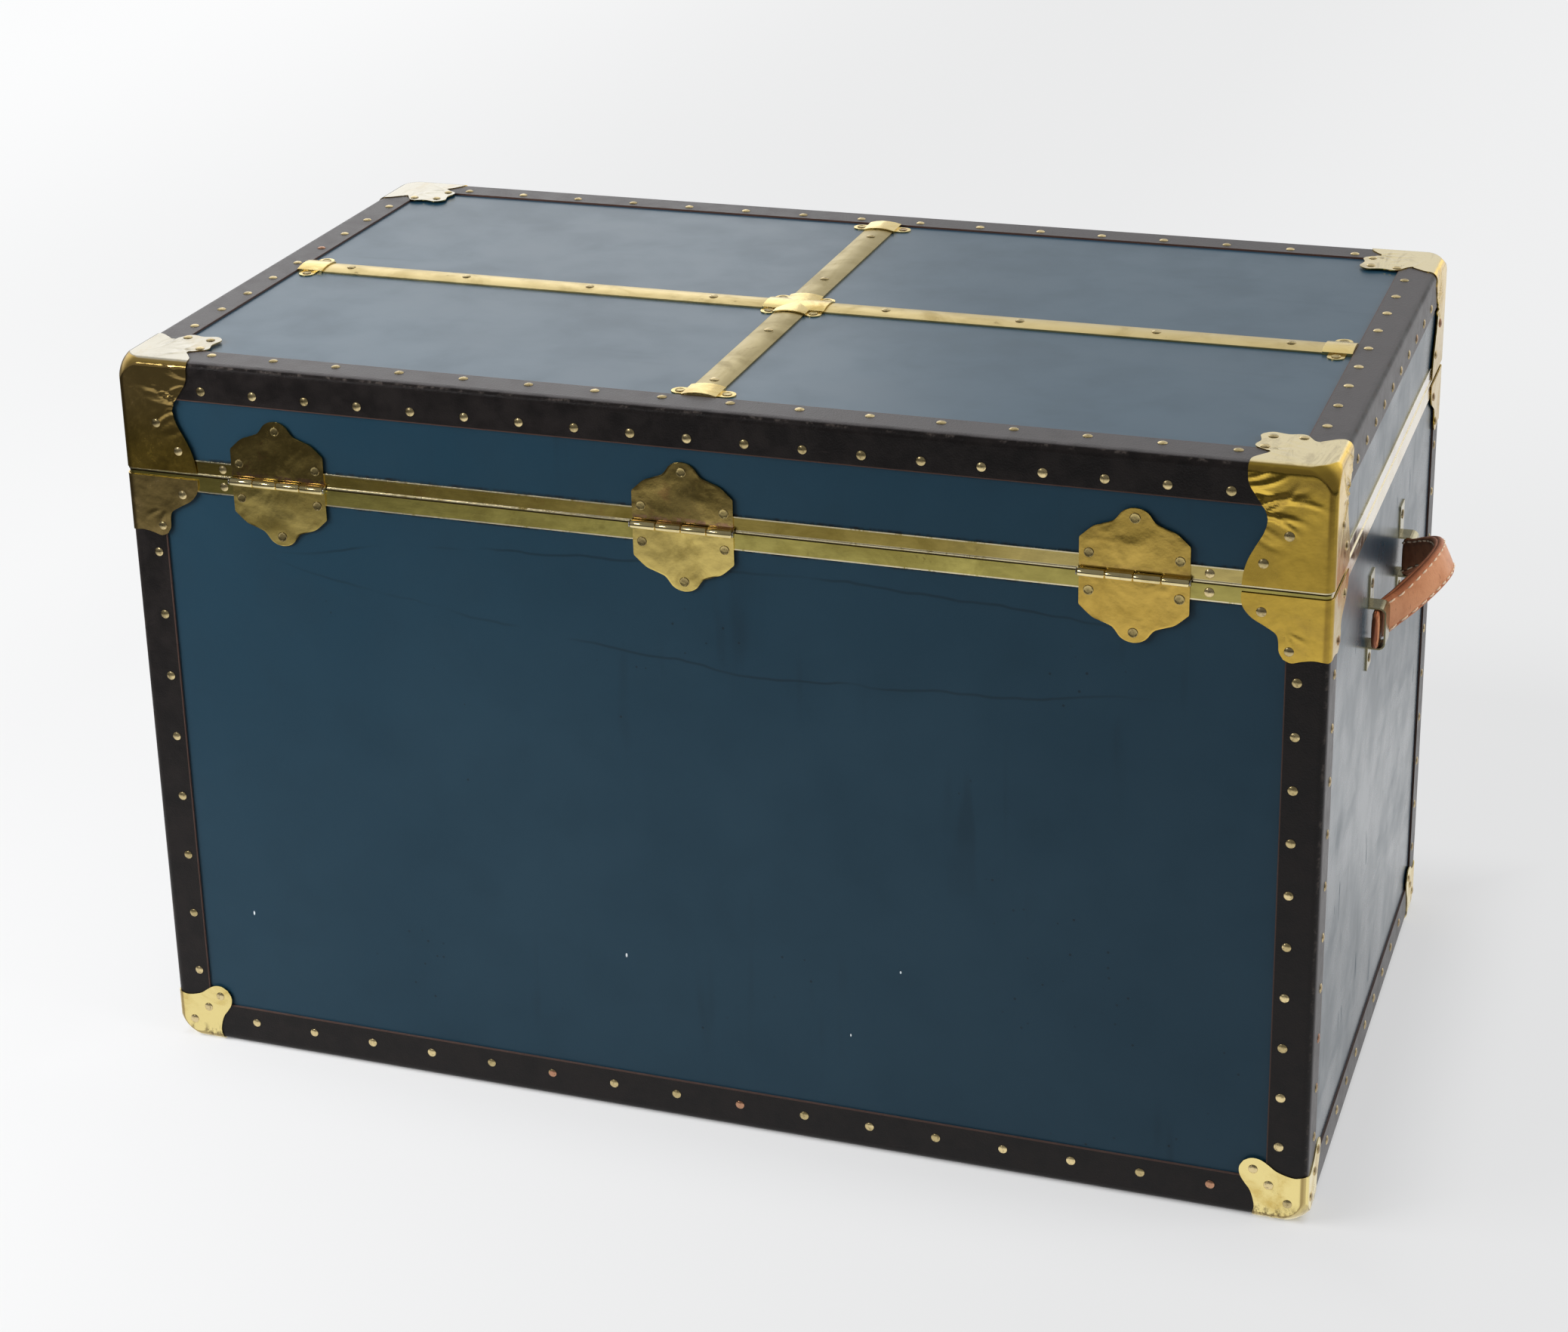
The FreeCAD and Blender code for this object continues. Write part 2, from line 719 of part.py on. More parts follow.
# Lid stay
def stay():
    y = hinge_y - stay_run
    low = split - stay_drop
    high = split + stay_drop
    spread = 2 * math.atan(stay_drop / stay_run) + math.radians(stay_open_deg)
    end = high - 2 * math.hypot(stay_run, stay_drop) * math.sin(spread / 2)
    near = lined_x - stay_standoff
    far = near - stay_sheet
    half = stay_width / 2
    slot_half = stud_radius + slot_play
    def across(radius, level, play):
        return rod(radius, vec(far - play, y, level), vec(near + play, y, level))
    bar = block(far, near, y - half, y + half, end, high)
    bar = joined([bar, across(half, high, 0), across(half, end, 0)])
    bar = bar.cut(block(far - overrun, near + overrun, y - slot_half, y + slot_half, end, low))
    for radius, level in ((slot_half, end), (slot_half, low), (stud_radius + pin_play, high)):
        bar = bar.cut(across(radius, level, overrun))
    parts["stay_bar"] = bar
    ends = (("stay_stud", low, stud_head_radius), ("stay_bracket", high, stay_plate_radius))
    for name, level, plate in ends:
        shoulder = rod(plate, vec(lined_x, y, level), vec(near + fit, y, level))
        shaft = rod(stud_radius, vec(lined_x, y, level), vec(far - fit, y, level))
        head = rod(stud_head_radius, vec(far - fit, y, level), vec(far - fit - stud_head, y, level))
        parts[name] = joined([shoulder, shaft, head])


# Lock
def prong_places():
    return (-prong_spread, prong_spread)


def lock_depth():
    """The middle plane of the prongs and the bolt."""
    return case_depth / 2 - lined_y


def eye_level():
    return lid_bottom + fit - prong_drop + prong_eye_up


def lock_shell():
    """The plate outside and the case inside, with the plug's hole through all that it passes."""
    hole_end = case_wall - lined_y + fit
    hole = rod(plug_radius + pin_play, vec(0, -depth, plug_level), vec(0, hole_end, plug_level))
    plate = flip_y(leaf(0, lock_half_width, lock_reach, rim_gap / 2, split, -1, leaf_sheet))
    top = base_top - case_drop
    low = top - case_tall
    case = block(-case_half_width, case_half_width, -lined_y, case_depth - lined_y, low, top)
    case = case.cut(block(case_wall - case_half_width, case_half_width - case_wall, case_wall - lined_y,
                          case_depth - case_wall - lined_y, low + case_wall, top - case_wall))
    slack_x = prong_thick / 2 + prong_play
    slack_y = prong_deep / 2 + prong_play
    for place in prong_places():
        case = case.cut(block(place - slack_x, place + slack_x, lock_depth() - slack_y,
                              lock_depth() + slack_y, top - case_wall - fit, top + overrun))
    parts["lock_plate"] = plate.cut(hole)
    parts["lock_case"] = case.cut(hole)
    for name in ("base_front", "base_lining"):
        parts[name] = parts[name].cut(hole)


def lock_strike():
    foot_low = lid_bottom + fit
    back = lock_depth() + prong_deep / 2
    wide = strike_half_width
    pieces = [block(-wide, wide, -lined_y, strike_sheet - lined_y, foot_low, foot_low + strike_tall),
              block(-wide, wide, -lined_y, back, foot_low, foot_low + strike_sheet)]
    for place in prong_places():
        prong = block(place - prong_thick / 2, place + prong_thick / 2, back - prong_deep, back,
                      foot_low - prong_drop, foot_low)
        eye = rod(prong_eye_radius, vec(place - prong_thick, lock_depth(), eye_level()),
                  vec(place + prong_thick, lock_depth(), eye_level()))
        pieces.append(prong.cut(eye))
    parts["lock_strike"] = joined(pieces)


def lock_bolt():
    """A rail on the case's floor, with two posts whose pegs slide into the prongs' eyes."""
    low = base_top - case_drop - case_tall + case_wall + fit
    y = lock_depth()
    half = bolt_thick / 2
    peg = bolt_throw - bolt_peg_gap + prong_thick / 2
    tips = [place - prong_thick / 2 - bolt_peg_gap for place in prong_places()]
    pieces = [block(tips[0] - peg - bolt_post, tips[1] - peg, y - half, y + half, low, low + bolt_rail)]
    for tip in tips:
        pieces.append(rod(bolt_peg_radius, vec(tip - peg, y, eye_level()), vec(tip, y, eye_level())))
        pieces.append(block(tip - peg - bolt_post, tip - peg, y - half, y + half, low,
                            eye_level() + bolt_peg_radius))
    parts["lock_bolt"] = joined(pieces)


def lock_plug():
    face = -half_y - leaf_out - plug_proud
    plug = rod(plug_radius, vec(0, face, plug_level), vec(0, case_wall - lined_y, plug_level))
    keyway = block(-keyway_wide / 2, keyway_wide / 2, -depth, face + keyway_deep,
                   plug_level - keyway_tall / 2, plug_level + keyway_tall / 2)
    parts["lock_plug"] = plug.cut(keyway)


# Clasps, made at the back and flipped over to the front
def clasp_plate(place):
    pieces = [leaf(place, clasp_half_width, clasp_reach, 0, split - clasp_top, -1, leaf_sheet)]
    for span in spans(place, clasp_barrel, clasp_knuckle_count, 0):
        pieces.append(knuckle(span, clasp_level, clasp_y))
        pieces.append(block(span[0] + fit / 2, span[1] - fit / 2, half_y + rim_sheet, clasp_y,
                            clasp_level - knuckle_radius, clasp_level + knuckle_radius))
    return bored(joined(pieces), place, clasp_barrel, clasp_level, clasp_y)


def flap(place):
    """The flap as it hangs, with its nose outwards at the lower end."""
    half = flap_sheet / 2
    top = clasp_level - knuckle_radius - fit
    tip = clasp_level - flap_length
    start, end = spans(place, clasp_barrel, clasp_knuckle_count, 1)[0]
    tongue = block(start + fit / 2, end - fit / 2, clasp_y - half, clasp_y + half, top, clasp_level)
    blade = block(place - flap_half_width, place + flap_half_width, clasp_y - half, clasp_y + half, tip, top)
    nose = block(place - lug_half_width, place + lug_half_width, clasp_y, clasp_y + half + nose_deep, tip,
                 tip + nose_tall)
    whole = joined([knuckle((start, end), clasp_level, clasp_y), tongue, blade, nose])
    return bored(whole, place, clasp_barrel, clasp_level, clasp_y)


def lug(place):
    """The lid's plate, with the ledge that the nose of the closed flap hooks over."""
    top = clasp_level + flap_length - nose_tall - fit
    plate = leaf(place, lug_plate_half_width, lug_plate_reach, 0, lid_cap_bottom, 1, lug_plate_sheet)
    ledge = block(place - lug_half_width, place + lug_half_width, half_y + rim_sheet,
                  clasp_y - flap_sheet / 2 - fit, top - lug_tall, top)
    return joined([plate, ledge])


def clasps():
    places = (clasp_spread, -clasp_spread)
    parts["clasp_plates"] = Part.makeCompound([flip_y(clasp_plate(place)) for place in places])
    parts["clasp_lugs"] = Part.makeCompound([flip_y(lug(place)) for place in places])
    parts["clasp_pins"] = Part.makeCompound([flip_y(pin(place, clasp_barrel, clasp_level, clasp_y))
                                             for place in places])
    parts["clasp_flap_left"] = flip_y(flap(clasp_spread))
    parts["clasp_flap_right"] = flip_y(flap(-clasp_spread))


# Rivets
def leaf_rivets(face, place, half_width, reach, top, up, shares):
    return [disc(face, place + a * half_width, top + up * b * reach, leaf_out) for a, b in shares]


def corner_rivets(shares, width, tall, level, up):
    """Rivets at the same places on both upright faces of all four corners."""
    heads = []
    for a, b in shares:
        z = level + up * b * tall
        for sign in (1, -1):
            heads += [dome(face, sign * (cap_x - a * width), z, cap_out) for face in ("back", "front")]
            heads += [dome(face, sign * (cap_y - a * width), z, cap_out) for face in ("left", "right")]
    return heads


def rim_rivets(level):
    end = edge_x - rim_rivet_inset
    return [dome(face, x, level, rim_sheet) for face in ("back", "front") for x in (end, -end)]


def long_row(level, count, faces):
    return [dome(face, x, level, binding) for x in row(count, edge_x - long_row_end) for face in faces]


def short_row(level, count, faces):
    return [dome(face, y, level, binding) for y in row(count, edge_y - short_row_end) for face in faces]


def lid_rivets():
    inset_x = edge_x - rivet_inset
    inset_y = edge_y - rivet_inset
    heads = long_row(height - rivet_inset, lid_long_count, ("back", "front"))
    heads += short_row(height - rivet_inset, lid_short_count, ("left", "right"))
    for x in row(lid_long_top_count, edge_x - long_row_end):
        heads += [dome("top", x, sign * inset_y, binding) for sign in (1, -1)]
    for y in row(lid_short_top_count, edge_y - short_row_end):
        heads += [dome("top", sign * inset_x, y, binding) for sign in (1, -1)]
    heads += corner_rivets(lid_cap_side_rivet_shares, lid_cap_width, lid_cap_tall, lid_cap_bottom, 1)
    for a, b in lid_cap_top_rivet_shares:
        x = cap_x - a * lid_cap_width
        y = cap_y - b * lid_cap_width
        heads += [dome("top", sx * x, sy * y, cap_out) for sx in (1, -1) for sy in (1, -1)]
    heads += rim_rivets(lid_bottom + (lip_tall + lid_rim_face) / 2)
    heads += [dome("top", a * flange_x, slat_long_offset, slat_crown) for a in slat_long_rivet_shares]
    heads += [dome("top", slat_short_offset, b * flange_y, slat_crown) for b in slat_short_rivet_shares]
    for x, y, quarters in clip_places():
        heads += [disc("top", x + quarters * ear, y + (1 - quarters) * ear, clip_sheet)
                  for ear in (clip_ear, -clip_ear)]
    for sx in (1, -1):
        heads += [disc("top", slat_short_offset + sx * saddle_ear_x, slat_long_offset + sy * saddle_ear_y,
                       clip_sheet) for sy in (1, -1)]
    for place in hinge_places:
        heads += leaf_rivets("back", place, leaf_half_width, leaf_reach, split, 1, leaf_rivet_shares)
    level = lid_cap_bottom + lug_rivet_share * lug_plate_reach
    for place in (clasp_spread, -clasp_spread):
        heads.append(disc("front", place, level, rim_sheet + lug_plate_sheet))
    parts["lid_rivets"] = Part.makeCompound(heads)


def base_rivets():
    inset_x = edge_x - rivet_inset
    inset_y = edge_y - rivet_inset
    heads = long_row(rivet_inset, bottom_long_count, ("back", "front"))
    heads += short_row(rivet_inset, bottom_short_count, ("left", "right"))
    middle = (split - post_row_top + post_row_bottom) / 2
    for sign, end, count in ((1, "left", left_post_count), (-1, "right", right_post_count)):
        for z in row(count, middle - post_row_bottom):
            heads += [dome(face, sign * inset_x, middle + z, binding) for face in ("back", "front")]
            heads += [dome(end, y, middle + z, binding) for y in (inset_y, -inset_y)]
    heads += corner_rivets(base_clamp_rivet_shares, base_clamp_width, base_clamp_height, base_clamp_top, -1)
    heads += corner_rivets(foot_rivet_shares, foot_width, foot_width, 0, 1)
    heads += rim_rivets(base_top - base_rim_face / 2)
    for place in hinge_places:
        heads += leaf_rivets("back", place, leaf_half_width, leaf_reach, split, -1, leaf_rivet_shares)
    heads += leaf_rivets("front", 0, lock_half_width, lock_reach, split, -1, leaf_rivet_shares)
    for place in (clasp_spread, -clasp_spread):
        heads += leaf_rivets("front", place, clasp_half_width, clasp_reach, split - clasp_top, -1,
                             clasp_rivet_shares)
    for face in ("left", "right"):
        for y in (loop_spacing / 2, -loop_spacing / 2):
            heads.append(disc(face, y, handle_level + loop_top * loop_rivet_share, loop_sheet))
            heads.append(disc(face, y, handle_level - loop_bottom * loop_rivet_share, loop_sheet))
    parts["base_rivets"] = Part.makeCompound(heads)


boards()
linings()
bindings()
rims()
corners()
hinges()
slats()
slat_fittings()
handles()
stay()
lock_shell()
lock_strike()
lock_bolt()
lock_plug()
clasps()
lid_rivets()
base_rivets()

os.makedirs("parts", exist_ok=True)
for name, shape in parts.items():
    shape.exportStep("parts/" + name + ".step")
print(len(parts), "nodes,", sum(len(shape.Solids) for shape in parts.values()), "solids")
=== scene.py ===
import bmesh
import bpy
import math
import random
from mathutils import Matrix, Vector


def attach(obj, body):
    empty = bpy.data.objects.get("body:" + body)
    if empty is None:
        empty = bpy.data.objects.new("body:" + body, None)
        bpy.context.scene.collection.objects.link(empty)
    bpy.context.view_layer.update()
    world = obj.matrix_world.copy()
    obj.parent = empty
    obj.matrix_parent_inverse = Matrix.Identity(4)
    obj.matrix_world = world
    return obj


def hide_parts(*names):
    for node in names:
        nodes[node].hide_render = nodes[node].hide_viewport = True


# The looks of a brass-bound storage trunk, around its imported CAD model. Sizes of pieces are in millimetres,
# and MM turns them into metres. Places in materials, the floor, the lamps and the camera are in metres.

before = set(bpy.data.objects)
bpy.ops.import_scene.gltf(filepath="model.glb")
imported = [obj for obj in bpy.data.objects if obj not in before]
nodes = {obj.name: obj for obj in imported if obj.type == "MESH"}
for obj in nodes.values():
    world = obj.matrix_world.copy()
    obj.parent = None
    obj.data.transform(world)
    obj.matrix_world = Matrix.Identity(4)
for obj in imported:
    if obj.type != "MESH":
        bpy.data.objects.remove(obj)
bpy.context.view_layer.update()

MM = 0.001
# The level at which the lid meets the base
SPLIT = 491.5

# The photograph's size in pixels, and the camera that was solved from the trunk's edges
IMAGE_WIDTH = 2077
IMAGE_HEIGHT = 1764
FOCAL_PIXELS = 4215.1
PRINCIPAL = (925.7, 642.3)
SENSOR = 36.0
CAMERA_PLACE = (-0.75871, 2.23504, 1.31946)
CAMERA_RIGHT = (-0.93836, -0.34438, -0.02978)
CAMERA_DOWN = (-0.09507, 0.33993, -0.93563)
CAMERA_AHEAD = (0.33233, -0.87513, -0.35172)


def clamp(value, low=0.0, high=1.0):
    return max(low, min(high, value))


def ease(value, low, high):
    """A smooth step from 0 at low to 1 at high."""
    t = clamp((value - low) / (high - low))
    return t * t * (3 - 2 * t)


# Materials, made of nodes

class Tree:
    """A node tree under construction, with short calls for the nodes that it uses."""

    def __init__(self, owner):
        owner.use_nodes = True
        self.tree = owner.node_tree
        self.place = self.node("TexCoord")

    def put(self, socket, value):
        if isinstance(value, bpy.types.NodeSocket):
            self.tree.links.new(value, socket)
        elif isinstance(value, (tuple, list)) and len(value) == 3 and socket.type == "RGBA":
            socket.default_value = (*value, 1.0)
        else:
            socket.default_value = value

    def fill(self, node, **values):
        """Sets or links sockets by name. An underscore stands for a space."""
        for key, value in values.items():
            self.put(node.inputs[key.replace("_", " ")], value)
        return node

    def node(self, kind, **values):
        return self.fill(self.tree.nodes.new("ShaderNode" + kind), **values)

    def fill_in_order(self, node, *values):
        for socket, value in zip(node.inputs, values):
            self.put(socket, value)
        return node.outputs[0]

    def at(self, shift, stretch=(1, 1, 1), turn=0.0):
        """The place on the object, stretched, and turned about X."""
        place = self.place.outputs["Object"]
        return self.node("Mapping", Vector=place, Scale=stretch, Location=shift,
                         Rotation=(turn, 0, 0)).outputs[0]

    def noise(self, scale, detail, stretch=(1, 1, 1), shift=(0, 0, 0), rough=0.55, warp=0.0, turn=0.0):
        place = self.at(shift, stretch, turn)
        node = self.node("TexNoise", Vector=place, Scale=scale, Detail=detail, Roughness=rough,
                         Distortion=warp)
        return node.outputs["Fac"]

    def cells(self, scale, feature="F1", shift=(0, 0, 0), output="Distance"):
        node = self.node("TexVoronoi", Vector=self.at(shift), Scale=scale)
        node.feature = feature
        return node.outputs[output]

    def axes(self, source="Object"):
        return tuple(self.node("SeparateXYZ", Vector=self.place.outputs[source]).outputs)

    def math(self, operation, a, b=0.0):
        node = self.node("Math")
        node.operation = operation
        return self.fill_in_order(node, a, b)

    def plus(self, a, b):
        return self.math("ADD", a, b)

    def minus(self, a, b):
        return self.math("SUBTRACT", a, b)

    def times(self, a, b):
        return self.math("MULTIPLY", a, b)

    def square(self, value):
        return self.math("POWER", value, 2.0)

    def unsigned(self, value):
        return self.math("ABSOLUTE", value)

    def most(self, *values):
        whole = values[0]
        for value in values[1:]:
            whole = self.math("MAXIMUM", whole, value)
        return whole

    def step(self, value, low, high, out_low=0.0, out_high=1.0):
        """A smooth change from one value to another."""
        node = self.node("MapRange", Value=value, From_Min=low, From_Max=high, To_Min=out_low,
                         To_Max=out_high)
        node.interpolation_type = "SMOOTHSTEP"
        return node.outputs["Result"]

    def patches(self, low, high, scale, detail, **noise):
        """1 where noise is above high, and 0 where it is below low."""
        return self.step(self.noise(scale, detail, **noise), low, high)

    def near(self, value, level, inner, outer):
        """1 within inner of a level, falling to 0 at outer."""
        return self.step(self.unsigned(self.minus(value, level)), inner, outer, 1.0, 0.0)

    def stripes(self, value, levels, inner, outer):
        """1 near any of some levels, all in millimetres."""
        return self.most(*(self.near(value, level * MM, inner * MM, outer * MM) for level in levels))

    def distance(self, x, y, place):
        """The distance in the plan from a place."""
        return self.math("SQRT", self.plus(self.square(self.minus(x, place[0])),
                                           self.square(self.minus(y, place[1]))))

    def fold(self, low, high):
        """Where the surface turns from one face of the box to another."""
        return self.step(self.most(*map(self.unsigned, self.axes("Normal"))), 1 - low, 1 - high)

    def mix(self, share, a, b):
        node = self.node("Mix")
        node.data_type = "RGBA"
        for number, value in ((0, share), (6, a), (7, b)):
            self.put(node.inputs[number], value)
        return node.outputs[2]

    def bump(self, height, depth, strength, **under):
        return self.node("Bump", Strength=strength, Distance=depth, Height=height, **under).outputs[0]

    def ray(self, kind):
        return self.node("LightPath").outputs[kind]

    def surface(self, kind, **values):
        return self.node(kind, **values).outputs[0]

    def blend(self, share, a, b):
        return self.fill_in_order(self.node("MixShader"), share, a, b)

    def show(self, output, surface):
        self.fill(self.tree.nodes[output], Surface=surface)


class Paint(Tree):
    """A material of one shader under construction."""

    def __init__(self, name, **constants):
        self.material = bpy.data.materials.new(name)
        super().__init__(self.material)
        self.shader = self.fill(self.tree.nodes["Principled BSDF"], **constants)
        self.base = None

    def tint(self, where, colour, strength=None):
        """Gives the base a colour somewhere, at most to the given strength."""
        self.base = self.mix(where if strength is None else self.times(where, strength), self.base, colour)

    def done(self, roughness, normal):
        self.fill(self.shader, Base_Color=self.base, Roughness=roughness, Normal=normal)
        return self.material


def blue_fibre(name, scuff, scuff_share, *, index, rough, waves, nicks=(), seed=0.0, coat=0.0, dots_from=0.62,
               painted_brightness=1.0, grit=0.6, dark_lines=(), tides=()):
    """Smooth lacquered fibre board: fine grain, cloudy smudges, faint scuffs along one way and small chips.
    Dark lines are the levels of broken darker lines along the seams. Each tide is the level, middle and
    bend of a faint curved line, and each nick the x, z, width and height of a chip."""
    light, dark, smudged = (0.0100, 0.0335, 0.0540), (0.0072, 0.0285, 0.0475), (0.006, 0.021, 0.034)
    scuffed, dusty, dotted = (0.004, 0.008, 0.012), (0.022, 0.056, 0.080), (0.004, 0.006, 0.008)
    tide_mark, dark_line_colour, chipped = (0.0035, 0.011, 0.016), (0.006, 0.005, 0.005), (0.62, 0.66, 0.68)
    p = Paint(name, IOR=index, Metallic=0.0, Coat_Weight=coat, Coat_Roughness=0.2)
    shift = (seed, seed * 1.7, seed * 0.6)
    cloud = p.noise(5.5, 4.0, shift=shift, warp=0.2)
    smudge = p.noise(19.0, 4.0, shift=shift, warp=0.2)
    grain = p.noise(1500.0, 2.0)
    thread = p.plus(p.noise(240.0, 2.0, stretch=(1, 1, 7)), p.noise(240.0, 2.0, stretch=(7, 7, 1)))
    fine = p.noise(46.0, 2.0, stretch=scuff, shift=shift, rough=0.6)
    streak = p.times(p.step(fine, 0.58, 0.74), p.patches(0.46, 0.66, 7.0, 2.0, shift=shift))
    dots = p.times(p.step(p.cells(95.0, shift=shift), 0.07, 0.12, 1.0, 0.0),
                   p.patches(dots_from, dots_from + 0.06, 14.0, 1.0, shift=shift))
    # The whole board's colour is scaled here; where the scale is above 1, as on the lid's top and the bottom,
    # it is a painted light.
    p.base = p.mix(p.step(cloud, 0.3, 0.7), [painted_brightness * c for c in dark], [painted_brightness * c for c in light])
    p.tint(p.step(smudge, 0.40, 0.85), smudged, 0.3)
    p.tint(streak, scuffed, scuff_share)
    p.tint(p.step(grain, 0.35, 0.75), dusty, 0.14)
    p.tint(dots, dotted, 0.7)
    x, _, z = p.axes()
    for low, middle, bend in tides:
        level = p.plus(p.times(p.square(p.minus(x, middle)), bend), low)
        level = p.plus(level, p.step(p.noise(11.0, 3.0), 0.2, 0.8, -0.004, 0.004))
        mark = p.near(z, level, 0.0004, 0.0015)
        mark = p.times(mark, p.patches(0.36, 0.50, 8.0, 2.0, shift=(middle, 3, 0)))
        p.tint(p.times(mark, p.near(x, 0.0, 0.26, 0.36)), tide_mark, 0.5)
    # Broken darker lines along the rims' edges, at the given levels
    if dark_lines:
        dark_line = p.times(p.stripes(z, dark_lines, 0.5, 2.2),
                       p.patches(0.40, 0.62, 70.0, 4.0, stretch=(1, 1, 0.2), rough=0.75))
        p.tint(dark_line, dark_line_colour, 0.85)
    if nicks:
        marks = []
        for nick_x, nick_z, wide, tall in nicks:
            across = p.math("DIVIDE", p.minus(x, nick_x * MM), wide * MM)
            along_z = p.math("DIVIDE", p.minus(z, nick_z * MM), tall * MM)
            marks.append(p.step(p.plus(p.square(across), p.square(along_z)), 0.6, 1.1, 1.0, 0.0))
        p.tint(p.most(*marks), chipped)
    sheen = p.plus(p.step(smudge, 0.3, 0.75, *rough), p.times(streak, 0.3 * scuff_share))
    normal = p.bump(p.plus(p.times(grain, 0.55), p.times(thread, 0.35)), 0.00005, grit)
    normal = p.bump(p.noise(6.0, 1.0, shift=shift), 0.0008, waves, Normal=normal)
    if coat:
        smear = p.noise(20.0, 4.0, stretch=(1, 0.25, 1), shift=shift, rough=0.6, turn=0.9)
        dash = p.noise(85.0, 2.0, stretch=(1, 1.0, 0.22), shift=shift, turn=0.35)
        dash = p.times(p.step(dash, 0.68, 0.72), p.patches(0.42, 0.55, 9.0, 2.0, shift=shift))
        lost = p.most(p.times(p.step(smear, 0.50, 0.75), 0.4), dash)
        p.fill(p.shader, Coat_Weight=p.minus(coat, p.times(lost, coat)))
        sheen = p.plus(sheen, p.times(lost, 0.15))
    return p.done(sheen, normal)


def binding_fibre(name):
    """Near-black vulcanised fibre: fine leather grain, rubbed folds, raw red-brown cut edges, and a pale tint
    on faces that look up or along X, which is dust and a painted sheen.
    """
    light, dark, scratched = (0.0105, 0.0083, 0.0078), (0.0058, 0.0048, 0.0047), (0.035, 0.027, 0.025)
    rubbed, dusty, cut = (0.085, 0.070, 0.062), (0.086, 0.080, 0.081), (0.075, 0.040, 0.030)
    p = Paint(name, IOR=1.27, Metallic=0.0)
    x, y, z = p.axes()
    cuts = (z, 551.0), (z, 33.9), (p.unsigned(x), 427.5), (p.unsigned(y), 229.0)
    raw = p.most(*(p.near(value, level * MM, 0.35 * MM, 1.1 * MM) for value, level in cuts))
    pores = p.step(p.cells(900.0, feature="SMOOTH_F1"), 0.15, 0.6)
    mottle = p.noise(60.0, 4.0, rough=0.6)
    wear = p.times(p.fold(0.06, 0.26), p.patches(0.50, 0.66, 130.0, 4.0, rough=0.7))
    scratch = p.patches(0.66, 0.76, 55.0, 3.0, stretch=(1, 1, 9), rough=0.7)
    p.base = p.mix(p.step(mottle, 0.3, 0.7), dark, light)
    p.tint(scratch, scratched, 0.25)
    p.tint(wear, rubbed, 0.5)
    facing = p.axes("Normal")
    # Paler on faces that look up or along X: dust, and a painted sheen where these faces catch glare
    dust_and_sheen = p.most(p.step(facing[2], 0.75, 0.98), p.step(p.unsigned(facing[0]), 0.80, 0.98))
    p.tint(p.times(dust_and_sheen, p.step(mottle, 0.2, 0.7, 0.5, 1.0)), dusty)
    p.tint(raw, cut, 0.7)
    rough = p.plus(p.step(mottle, 0.3, 0.75, 0.34, 0.48), p.times(wear, 0.15))
    normal = p.bump(p.plus(pores, p.times(mottle, 0.4)), 0.00009, 0.7)
    return p.done(rough, p.bump(p.noise(16.0, 2.0), 0.0016, 0.3, Normal=normal))


